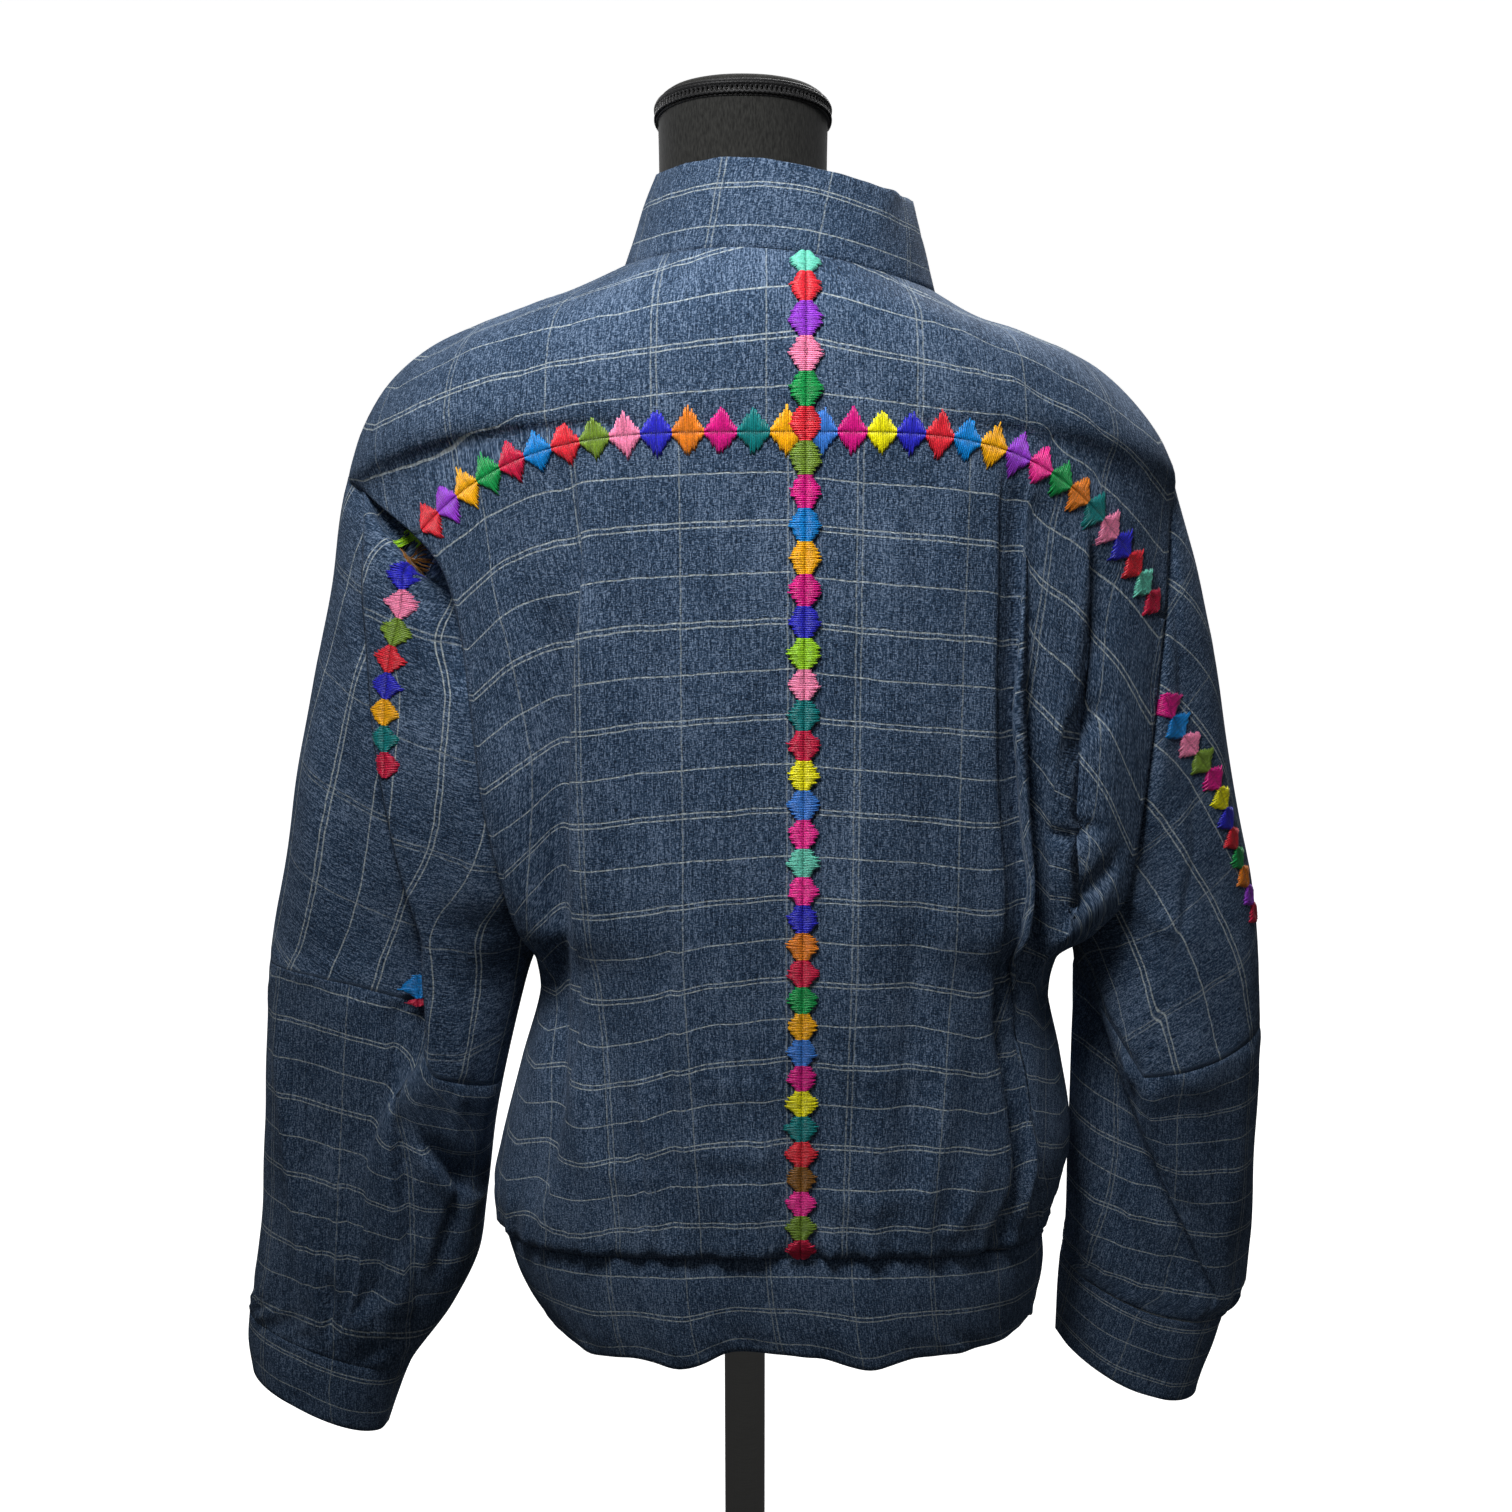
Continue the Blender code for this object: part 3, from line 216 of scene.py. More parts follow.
# How the cloth hangs: heights of weft lines at stations across each back panel. A station is a point of the
# section, counted from the centre back, and the first column counts the lines down from the neck.
LEFT_STATIONS = (0, 2, 4, 5, 14, 16, 18)
LEFT_HANG = [
    (0, 1026, 1022, 1015, 1010, 1003, 989, 955), (1, 997, 994, 986, 980, 974, 962, 938),
    (2, 971, 966, 958, 954, 948, 934, 915), (3, 943, 939, 932, 926, 917, 900, 882),
    (4, 895, 894, 891, 889, 883, 870, 842), (6, 839, 837, 834, 831, 823, 814, 787),
    (8, 783, 780, 775, 772, 761, 749, 728), (10, 727, 724, 717, 713, 706, 687, 671),
    (12, 671, 668, 660, 656, 653, 638, 618), (14, 620, 615, 601, 596, 598, 592, 580),
    (16, 569, 564, 545, 537, 540, 538, 532), (18, 517, 512, 492, 484, 490, 487, 482),
    (20, 462, 459, 443, 435, 440, 435, 428), (22, 408, 406, 396, 388, 392, 386, 378),
]
RIGHT_STATIONS = (0, 2, 4, 5, 14, 16, 17.5, 21, 24)
RIGHT_HANG = [
    (0, 1024, 1018, 1010, 1006, 1002, 1000, 995, 985, 960), (1, 995, 989, 981, 977, 972, 970, 964, 944, 905),
    (2, 968, 961, 954, 950, 946, 945, 936, 914, 872), (3, 939, 934, 928, 926, 921, 919, 907, 884, 840),
    (4, 892, 888, 885, 882, 877, 876, 864, 838, 790), (6, 836, 832, 828, 826, 821, 820, 796, 762, 690),
    (8, 781, 776, 772, 770, 766, 764, 726, 690, 622), (10, 725, 722, 717, 714, 711, 710, 672, 645, 590),
    (12, 670, 668, 661, 658, 658, 658, 622, 606, 572), (14, 617, 615, 608, 603, 606, 605, 575, 566, 546),
    (16, 564, 563, 555, 547, 550, 549, 534, 527, 519), (18, 513, 510, 504, 496, 503, 503, 488, 482, 474),
    (20, 458, 456, 451, 445, 450, 455, 442, 436, 430), (22, 404, 403, 401, 399, 396, 395, 390, 386, 380),
]
FIRST_LOWER_LINE = 4
UPPER_OFFSET = 1
# Where a single warp line lies, from the centre back along the cloth
WARP_START = {"back_upper_left": 22.0, "back_lower_left": 71.0, "back_upper_right": 127.0,
              "back_lower_right": 94.0}
GATHER_FROM = 600.0
GATHER_TO = 408.0
GATHERED_IN = 0.16
WARP_SLANT = 0.42
FRONT_LINE_DROOP = 0.35
FRONT_WARP_START = 40.0
# Line places on the upper sleeves: row, then how far the lines have slid across the outer part and across the
# part inside the fold. They run down the sleeve and slant towards its fold.
LEFT_SLIDE = [(0, 5, 5), (1, 8, 6), (2.5, 18, 8), (3.7, 27, -7), (5, 32, -9), (7, 38, 18), (8, 41, 4),
              (9, 44, -12)]
RIGHT_SLIDE = [(0, -47, -47), (2, -17, -17), (4, 25, 25), (6, 74, 74), (8, 104, 100), (9, 116, 110)]

# Creases: points (x, z), widths before and behind the crest, height. Above the shoulder seam they are softer.
SHOULDER_CREASES = 0.4
BACK_CREASES = [
    ([(-38, 668), (-37, 540), (-35, 425)], 5, 15, 3.4),
    ([(-46, 660), (-45, 540), (-44, 425)], 4, 5, -2.4),
    ([(-63, 522), (-60, 470), (-58, 428)], 4, 6, 3.6),
    ([(-70, 515), (-68, 465), (-66, 428)], 4, 4, -2.6),
    ([(-12, 700), (-8, 560), (-6, 430)], 16, 12, 2.4),
    ([(74, 760), (70, 600), (72, 430)], 14, 18, 2.6),
    ([(110, 720), (104, 590), (100, 470)], 10, 15, -2.8),
    ([(128, 560), (120, 480), (108, 420)], 6, 10, 3.4),
    ([(-96, 880), (-92, 760), (-96, 640)], 14, 8, 3.8),
    ([(-70, 860), (-66, 760), (-62, 660)], 12, 12, -3.0),
    ([(-112, 600), (-108, 520), (-96, 440)], 7, 12, 4.0),
    ([(-84, 560), (-80, 480), (-78, 425)], 6, 9, -3.0),
    ([(-104, 1000), (-150, 962), (-186, 915)], 10, 15, 2.6),
    ([(-118, 960), (-160, 925), (-182, 880)], 8, 12, -2.4),
    ([(150, 985), (196, 945), (228, 892)], 12, 10, 2.6),
    ([(140, 950), (180, 920), (214, 872)], 10, 14, -2.4),
    ([(180, 850), (184, 770), (178, 700)], 8, 14, 3.0),
    ([(60, 985), (64, 955), (66, 930)], 14, 16, -1.8),
    ([(8, 560), (14, 500), (12, 440)], 8, 12, 2.4),
    ([(150, 470), (140, 440), (126, 414)], 5, 8, 3.2),
    ([(199, 876), (201, 821), (198, 760), (193, 729), (192, 665), (193, 600)], 14, 2.2, 5.0),
    ([(205, 876), (207, 821), (204, 760), (199, 729), (198, 665), (199, 604)], 2.2, 13, -11.0),
    ([(157, 880), (158, 835), (158, 782), (161, 722), (167, 665), (170, 620), (166, 588)], 5, 11, -9.0),
    ([(166, 588), (172, 540), (178, 490), (176, 440)], 4, 8, -5.0),
    ([(-104, 800), (-108, 720), (-111, 640), (-114, 560), (-116, 500), (-122, 450)], 13, 5, -8.0),
    ([(196, 720), (206, 738), (220, 750)], 4, 8, -8.0),
    ([(188, 674), (200, 668), (216, 676)], 4, 5, -8.0),
    ([(206, 622), (218, 634), (230, 652)], 3.5, 8, -6.0),
    ([(-67, 492), (-64, 470), (-62, 445), (-61, 425)], 3, 4, -5.0),
    ([(-72, 500), (-70, 470), (-68, 428)], 6, 3, 3.6),
    ([(-60, 486), (-10, 478), (40, 484)], 10, 7, 1.1),
    ([(-40, 468), (0, 463), (30, 466)], 6, 8, -0.9),
    ([(50, 540), (90, 530), (130, 536)], 9, 6, 1.1),
    ([(-110, 470), (-80, 458), (-50, 462)], 8, 6, 1.3),
    ([(40, 452), (80, 446), (118, 452)], 8, 6, 1.3),
    ([(-30, 530), (10, 522), (26, 524)], 9, 7, 1.0),
]
FRONT_CREASES = [
    ([(-110, 900), (-80, 800), (-40, 700)], 9, 16, 4.2),
    ([(-120, 850), (-100, 740), (-70, 640)], 8, 14, -3.6),
    ([(150, 900), (112, 800), (70, 690)], 9, 16, 4.2),
    ([(180, 850), (150, 740), (110, 640)], 8, 14, -3.4),
    ([(-60, 640), (-56, 520), (-52, 425)], 7, 12, 3.8),
    ([(-100, 600), (-96, 500), (-90, 420)], 6, 10, 3.2),
    ([(60, 620), (64, 520), (60, 424)], 8, 12, 3.6),
    ([(110, 600), (112, 500), (118, 420)], 7, 11, 3.6),
    ([(160, 560), (166, 480), (160, 420)], 6, 10, 3.0),
    ([(-30, 560), (-24, 480), (-26, 420)], 6, 10, -2.8),
]
LEFT_SLEEVE_CREASES = [
    ([(-226, 884), (-204, 860), (-186, 830), (-176, 804), (-168, 770)], 9, 14, -19.0),
    ([(-231, 553), (-230, 482), (-228, 374), (-226, 325)], 9, 2.2, 4.4),
    ([(-226, 550), (-225, 482), (-223, 374), (-221, 330)], 2.2, 7, -7.0),
    ([(-305, 560), (-305, 482), (-303, 436), (-298, 335)], 3, 6, 3.2),
    ([(-269, 450), (-271, 395), (-272, 340)], 3, 5, 3.4),
    ([(-263, 445), (-265, 395), (-266, 345)], 2.5, 4, -2.6),
    ([(-209, 452), (-196, 428), (-183, 402)], 3, 9, -11.0),
    ([(-214, 450), (-200, 424), (-188, 398)], 7, 2.5, 4.0),
    ([(-184, 428), (-194, 396), (-212, 345)], 2.5, 7, -8.0),
    ([(-243, 372), (-247, 345), (-252, 312)], 3, 5, -5.0),
    ([(-228, 366), (-232, 342), (-240, 315)], 3, 5, 4.0),
    ([(-250, 420), (-252, 370), (-256, 322)], 4, 6, -3.2),
    ([(-286, 400), (-288, 360), (-288, 318)], 3, 5, 3.0),
    ([(-240, 820), (-226, 760), (-212, 700)], 6, 12, -2.6),
    ([(-262, 760), (-270, 680), (-276, 600)], 10, 14, 2.8),
    ([(-176, 740), (-168, 660), (-162, 590)], 7, 12, 3.6),
    ([(-200, 690), (-190, 610), (-178, 540)], 6, 10, -3.2),
    ([(-190, 560), (-186, 520), (-180, 480)], 5, 8, 2.8),
    ([(-279, 347), (-280.5, 325), (-281, 304)], 3.4, 3.4, -9.0),
    ([(-268, 318), (-258, 330), (-246, 344)], 4, 4, -4.0),
    ([(-262, 312), (-250, 322), (-238, 334)], 3, 3, 3.0),
]
RIGHT_SLEEVE_CREASES = [
    ([(260, 842), (258, 786), (255, 720), (253, 680), (247, 630)], 6, 10, 5.0),
    ([(246, 760), (262, 700), (286, 640)], 6, 12, 2.6),
    ([(238, 690), (252, 645), (270, 612)], 5, 10, -4.4),
    ([(230, 640), (252, 612), (284, 590)], 4, 8, 3.4),
    ([(262, 640), (290, 600), (316, 560)], 7, 12, 2.6),
    ([(300, 770), (312, 700), (322, 640)], 8, 12, -2.4),
    ([(230, 562), (251, 502), (274, 452), (298, 402)], 2.5, 14, 5.0),
    ([(222, 548), (243, 488), (266, 438), (290, 390)], 14, 3, -12.0),
    ([(318, 520), (328, 440), (330, 370)], 7, 11, 2.8),
    ([(300, 560), (312, 520), (322, 480)], 6, 10, -2.4),
    ([(262, 420), (262, 380), (258, 345)], 4, 6, 3.0),
    ([(292, 400), (296, 360), (292, 330)], 4, 6, -2.8),
    ([(240, 400), (238, 370), (238, 340)], 4, 5, 2.8),
]
# On the front of a sleeve: points (share, row)
SLEEVE_FRONT_CREASES = [
    ([(0.30, 1.0), (0.42, 4.0), (0.36, 8.0)], 0.05, 0.09, 2.6),
    ([(0.62, 2.0), (0.70, 5.0), (0.62, 8.6)], 0.04, 0.08, -2.2),
    ([(0.20, 9.4), (0.34, 11.5), (0.30, 13.8)], 0.03, 0.06, 2.4),
    ([(0.52, 9.6), (0.55, 11.8), (0.50, 13.9)], 0.03, 0.05, -2.2),
    ([(0.74, 9.4), (0.76, 12.0), (0.72, 13.8)], 0.03, 0.06, 2.2),
]

# The hem waves up and down and in and out as the band is eased on: x, rise, outward
HEM_WAVES = [(-95, -4, 2.0), (-40, -5, 3.0), (-4, 5, -2.0), (30, 3, 1.0), (78, -5, 3.2), (128, -1, -1.5)]
HEM_TURNS = 10.0

# sRGB colours of the floss, in the order worked on each chain
FLOSS = {
    "red": "E8283A", "purple": "A03CD8", "pink": "FF8FB8", "green": "0FA050", "olive": "7A9A2E",
    "azure": "0088D8", "gold": "FFB800", "magenta": "E0108A", "hot": "FF2FA0", "royal": "2A2AC8",
    "lime": "A0D820", "teal": "007F80", "crimson": "D81848", "yellow": "F8F000", "blue": "3C80D8",
    "mint": "70D8C0", "orange": "F08820", "brown": "8A5A18",
}
CENTRE_CHAIN = ("mint red purple pink green red olive magenta azure gold magenta royal lime pink teal "
                "crimson yellow blue hot mint hot royal orange crimson green gold blue magenta yellow "
                "teal red brown hot olive crimson").split()
LEFT_CHAIN = "gold teal magenta orange royal pink olive red azure crimson green gold purple red".split()
RIGHT_CHAIN = ("blue magenta yellow royal red azure gold purple hot green orange teal pink royal red mint "
               "crimson").split()
LEFT_SLEEVE_CHAIN = "lime brown royal pink olive red royal gold teal crimson".split()
RIGHT_SLEEVE_CHAIN = "magenta azure pink olive magenta yellow royal red green orange purple crimson".split()
# Paths of the chains: row and share across the panel or the back of the sleeve
CENTRE_PATH = [(0.06, 0.0), (BAND_ROW, 0.0), (14, 0.0), (19.9, 0.0)]
SHOULDER_PATH = [(BAND_ROW, 1 / 200), (BAND_ROW, 0.5), (BAND_ROW, 0.985)]
LEFT_SLEEVE_PATH = [(0.3, 0.0), (0.6, 0.03), (0.97, 0.20), (1.7, 0.41), (2.25, 0.456), (3.13, 0.546),
                    (3.86, 0.57), (4.6, 0.55)]
RIGHT_SLEEVE_PATH = [(3.35, 0.40), (3.9, 0.47), (4.45, 0.58), (5.0, 0.72), (5.5, 0.83), (6.1, 0.89),
                     (6.8, 0.93), (7.6, 0.97)]
ELBOW_PATH = [(7.95, 0.395), (8.2, 0.37), (8.42, 0.355)]
ELBOW_SINK = 8.5


def linear(code):
    """An sRGB hex colour as linear red, green, blue and a full alpha."""
    parts = [int(code[k:k + 2], 16) / 255 for k in (0, 2, 4)]
    return tuple(p / 12.92 if p <= 0.04045 else ((p + 0.055) / 1.055) ** 2.4 for p in parts) + (1.0,)


def unit(vectors):
    return vectors / np.maximum(np.linalg.norm(vectors, axis=-1, keepdims=True), 1e-9)


def smooth_step(value):
    value = np.clip(value, 0, 1)
    return value * value * (3 - 2 * value)


def fade(distance, start, width):
    """0 up to the start, then a smooth rise to 1 over the width."""
    return smooth_step((distance - start) / width)


def soft_between(values, widths, k, t):
    """A smooth curve through the values that never swings past them, read a share t on from value k."""
    rises = np.diff(values, axis=0) / widths
    before, after = rises[:-1], rises[1:]
    both = np.where(before + after == 0, 1, before + after)
    turns = np.where(before * after > 0, 2 * before * after / both, 0)
    slopes = np.concatenate([rises[:1], turns, rises[-1:]])
    rise = t * t * (3 - 2 * t)
    start, stop = t * (1 - t) ** 2 * widths[k], t * t * (t - 1) * widths[k]
    return values[k] * (1 - rise) + values[k + 1] * rise + slopes[k] * start + slopes[k + 1] * stop


def soft_curve(knots, values, places):
    """The smooth curve through the values at the knots, read at the places."""
    knots, values = np.asarray(knots, float), np.asarray(values, float)
    places = np.clip(places, knots[0], knots[-1])
    k = np.clip(np.searchsorted(knots, places, side="right") - 1, 0, len(knots) - 2)
    widths = np.diff(knots)
    return soft_between(values, widths, k, (places - knots[k]) / widths[k])


def columns_of(rows, names):
    return dict(zip(names, np.array(rows, float).T))


def fold_steps(amount):
    """Steps along the cloth and into the garment through a fold of this strength."""
    flat, step, step_down, lap, lap_down = np.array(FOLD_STEPS).T
    if amount < 0.5:
        return flat + (step - flat) * 2 * amount, step_down * 2 * amount
    over = 2 * amount - 1
    return step + (lap - step) * over, step_down + (lap_down - step_down) * over


class Panel:
    """One side of the back or front, from the centre line to its outer edge. front is +1 or -1 (back)."""

    def __init__(self, left, front):
        self.table = columns_of(BODY_ROWS, BODY_COLUMNS)
        self.folds = columns_of(FOLD_ROWS, FOLD_COLUMNS)
        self.left, self.front = left, front
        self.side = -1.0 if left else 1.0
        self.name = "left" if left else "right"
        self.half = "front" if front > 0 else "back"

    def read(self, name, row):
        return float(soft_curve(np.arange(len(BODY_ROWS)), self.table[name], row))

    def fold(self, name, row):
        return float(soft_curve(self.folds["row"], self.folds[name], row))

    def anchors(self, row):
        """The centre-line and outer-edge points of a section, how open it is there, and its last share."""
        centre = np.array([CENTRE_FRONT_X if self.front > 0 else CENTRE_BACK_X,
                           self.read(self.half + "_y", row), self.read(self.half + "_z", row)])
        edge = np.array([self.read(self.name + "_x", row), self.front * self.read(self.name + "_gap", row),
                         self.read(self.name + "_z", row)])
        opened = min(1.0, self.read("turn", row) / FULL_TURN)
        return centre, edge, opened, 1 - EDGE_SHARE * (1 - opened)

    def base(self, row, share):
        """The plain surface before its folds: share is 0 at the centre line and 1 at the outer edge."""
        centre, edge, opened, _ = self.anchors(row)
        share = np.clip(np.asarray(share, float), 0, 1)
        x = centre[0] + (edge[0] - centre[0]) * share
        depth = np.clip(1 - share ** ROUNDNESS, 0, 1) ** (0.5 + 0.5 * opened)
        y = edge[1] + (centre[1] - edge[1]) * depth
        back = self.front < 0
        droop = self.read(self.name + "_droop", row) if back else FRONT_DROOP
        rise = self.read("rise", row) * (self.left and back) * np.sin(np.pi * share)
        return np.stack([x, y, centre[2] + (edge[2] - centre[2]) * share ** droop + rise], -1)

    def stations(self, row):
        """Points along a section as (share, steps along the cloth, steps into the garment)."""
        last = self.anchors(row)[3]
        if self.front > 0:
            shares = last * np.linspace(0, 1, FRONT_STATIONS)
            swell = FRONT_SWELL * np.sin(shares * 9.4 + 0.6) * smooth_step(shares * 3) * (1 - shares)
            return [(share, 0.0, down * fade(row, 6, 5)) for share, down in zip(shares, swell)]
        if self.left:
            return self.folded(row, self.fold("left", row), self.fold("left_fold", row), last, 4)
        stop = self.fold("edge", row) * last
        points = self.folded(row, self.fold("right", row), self.fold("right_fold", row), stop, 2)
        rim, deep = self.fold("rim", row) * last, self.fold("hollow", row)
        points += [(stop + (rim - stop) * share, 0.0, deep * down) for share, down in HOLLOW_SHAPE]
        return points + [(share, 0.0, 0.0) for share in np.linspace(rim, last, 4)]

    def folded(self, row, place, amount, stop, outer):
        """Even points up to a fold, the fold itself, and even points on to stop."""
        centre, edge = self.anchors(row)[:2]
        width = abs(edge[0] - centre[0])
        scale = min(1.0, 0.0055 * width)
        reach = 2 * FOLD_REACH * scale / width
        points = [(share, 0.0, 0.0) for share in np.linspace(0, place - reach, 6)]
        points += [(place, along * scale, down) for along, down in zip(*fold_steps(amount))]
        for step in np.linspace(0, 1, outer + 1):
            share = place + reach + (stop - place - reach) * step
            points.append((share, 0.0, amount * FOLD_DEPTH * (1 - smooth_step(step))))
        return points

    def section(self, row):
        """All points of one section, from the centre line over the folds to the turned edge."""
        shares, along, into = np.array(self.stations(row)).T
        run = unit(self.base(row, shares + 0.01) - self.base(row, shares - 0.01))
        inward = unit(np.stack([run[:, 1], -run[:, 0], 0 * run[:, 0]], -1) * self.side * self.front)
        points = self.base(row, shares) + run * along[:, None] + inward * into[:, None]
        _, edge, opened, last = self.anchors(row)
        hooked = min(1.0, max(0.0, (opened - HOOKED_FROM) / (1 - HOOKED_FROM)))
        hooks = []
        for k, (out, down) in enumerate(HOOK_SHAPE, start=1):
            plain = self.base(row, last + (1 - last) * k / len(HOOK_SHAPE))
            turned_under = edge + np.array([self.side * out, -self.front * down, 0.0])
            hooks.append((1 - hooked) * plain + hooked * turned_under)
        return np.concatenate([points, np.array(hooks)])


class Sleeve:
    """A sleeve: each section runs from the inner edge at the back, round the outside, to the front."""

    def __init__(self, left):
        self.table = columns_of(LEFT_SLEEVE_ROWS if left else RIGHT_SLEEVE_ROWS, SLEEVE_COLUMNS)

    def read(self, name, row):
        return float(soft_curve(np.arange(len(self.table[name])), self.table[name], row))

    def half(self, row, share, front=False):
        """Points of one half at the shares from the inner edge to the outer edge."""
        inner_x, inner_z, outer_x, outer_z, middle = (
            self.read(name, row) for name in ("inner_x", "inner_z", "outer_x", "outer_z", "middle_y"))
        deep = abs(self.read("front_y" if front else "back_y", row) - middle)
        gap = min(self.read("gap", row), deep)
        share = np.clip(np.asarray(share, float), 0, 1)
        inside = np.clip(1 - (1 - share) ** 3.0, 0, 1) ** 0.5
        outside = np.clip(1 - share ** 3.0, 0, 1) ** 0.5
        y = (gap + (deep - gap) * inside) * outside
        x = inner_x + (outer_x - inner_x) * share
        z = outer_z + (inner_z - outer_z) * (1 - share) ** 1.5
        return np.stack([x, middle + (y if front else -y), z], -1)

    def spread(self, row, steps):
        """Shares for even steps: close together where the section turns sharply."""
        deep = abs(self.read("back_y", row) - self.read("middle_y", row))
        opened = smooth_step(self.read("gap", row) / max(deep, 1.0))
        return (1 - np.cos(np.pi * steps)) / 2 * (1 - opened) + np.sin(np.pi * steps / 2) * opened

    def section(self, row):
        inner, outer, front = SLEEVE_CUTS
        place, amount = self.read("fold", row), self.read("folded", row)
        width = abs(self.read("outer_x", row) - self.read("inner_x", row))
        scale = min(1.0, 0.012 * width)
        reach = 1.6 * FOLD_REACH * scale / width
        steps = np.linspace(0, 1, 41)
        before, after = (np.interp(place + way * reach, self.spread(row, steps), steps) for way in (-1, 1))
        inner_over = amount >= 0
        amount = abs(amount)
        along, into = fold_steps(amount)
        if not inner_over:
            along, into = -along[::-1], into[::-1]
        shares = np.concatenate([self.spread(row, np.linspace(0, before, inner + 1)),
                                 place + along * scale / width,
                                 self.spread(row, np.linspace(after, 1, outer + 1)[:-1])])
        deep = amount * FOLD_DEPTH
        inner_down = 0 if inner_over else deep * smooth_step(np.arange(inner + 1) / inner)
        outer_down = deep * (1 - smooth_step(np.arange(outer) / (outer - 1.0))) if inner_over else 0
        back = self.half(row, shares)
        back[:, 1] += np.concatenate([np.zeros(inner + 1) + inner_down, into, np.zeros(outer) + outer_down])
        back[:, 2] += self.hang(row, shares, place, len(into), inner + 1)
        face = self.half(row, self.spread(row, np.linspace(1, 0, front + 1)), True)
        points = np.concatenate([back, face])
        away = points - points.mean(axis=0)
        gathered_in = math.sin(math.pi * min(1.0, max(0.0, (row - 11.5) / 2.5)))
        wave = GATHER_DEPTH * gathered_in * np.sin(GATHERS * np.arctan2(away[:, 1], away[:, 0]))
        return points + unit(away) * wave[:, None]

    def hang(self, row, shares, place, steps, first):
        """The change in height along the back of a section: a step through its fold, and a dip."""
        drop, dip = self.read("drop", row), self.read("dip", row)
        outside = np.ones(len(shares))
        outside[:first] = 0
        outside[first:first + steps] = np.linspace(0, 1, steps)
        shares = np.clip(shares, 0, 1)
        step = (drop * (outside * DROP_LIFT * np.minimum(1, (1 - shares) / (1 - place))
                        - (1 - outside) * (1 - DROP_LIFT) * np.minimum(1, shares / place)))
        return step - dip * np.minimum(shares / DIP_PLACE, (1 - shares) / (1 - DIP_PLACE))


def band_section(row, steps):
    """One section of the collar or waistband, from centre front round the left and back to centre front."""
    back_z, back_y, front_z, front_y, left_x, left_z, right_x, right_z, left_droop, right_droop, rise = row
    points = []
    for left, front, inwards in [(True, 1, False), (True, -1, True), (False, -1, False), (False, 1, True)]:
        centre = (CENTRE_FRONT_X, front_y, front_z) if front > 0 else (CENTRE_BACK_X, back_y, back_z)
        edge = (left_x, 0.0, left_z) if left else (right_x, 0.0, right_z)
        angle = np.linspace(0, math.pi / 2, steps + 1)
        angle = angle[::-1] if inwards else angle
        share = np.sin(angle) ** (2 / ROUNDNESS)
        droop = FRONT_DROOP if front > 0 else (left_droop if left else right_droop)
        height = (edge[2] - centre[2]) * share ** droop
        run = np.stack([centre[0] + (edge[0] - centre[0]) * share,
                        edge[1] + (centre[1] - edge[1]) * np.cos(angle),
                        centre[2] + height + rise * (left and front < 0) * np.sin(np.pi * share)], -1)
        points.append(run if not len(points) else run[1:])
    return np.concatenate(points)


def soft_columns(coarse):
    """Finer columns through a grid of sections, and the coarse column that each lies at."""
    columns = coarse.swapaxes(0, 1)
    widths = np.maximum(np.linalg.norm(np.diff(columns, axis=0), axis=2), TINY)[..., None]
    stations = []
    for k, width in enumerate(widths):
        cuts = max(1, math.ceil(width.mean() / CLOTH_STEP))
        stations += list(k + np.arange(cuts) / cuts)
    fine = [soft_between(columns, widths, int(place), place - int(place)) for place in stations]
    return np.stack(fine + [columns[-1]], axis=1), np.array(stations + [len(widths) + 0.0])


def woven(section, last):
    """A cloth over all sections, with rows about a cloth step apart and every whole row among them."""
    rows = [0.0]
    for row in range(last):
        length = np.linalg.norm(section(row + 1) - section(row), axis=1).mean()
        cuts = max(1, math.ceil(length / CLOTH_STEP))
        rows += [row + (k + 1) / cuts for k in range(cuts)]
    return Cloth(*soft_columns(np.array([section(row) for row in rows])), np.array(rows))


def lengths_along(points, axis=0):
    """Lengths from the first points of a line or grid to each of them, along an axis."""
    steps = np.linalg.norm(np.diff(points, axis=axis), axis=-1)
    return np.insert(np.cumsum(steps, axis=axis), 0, 0.0, axis=axis)


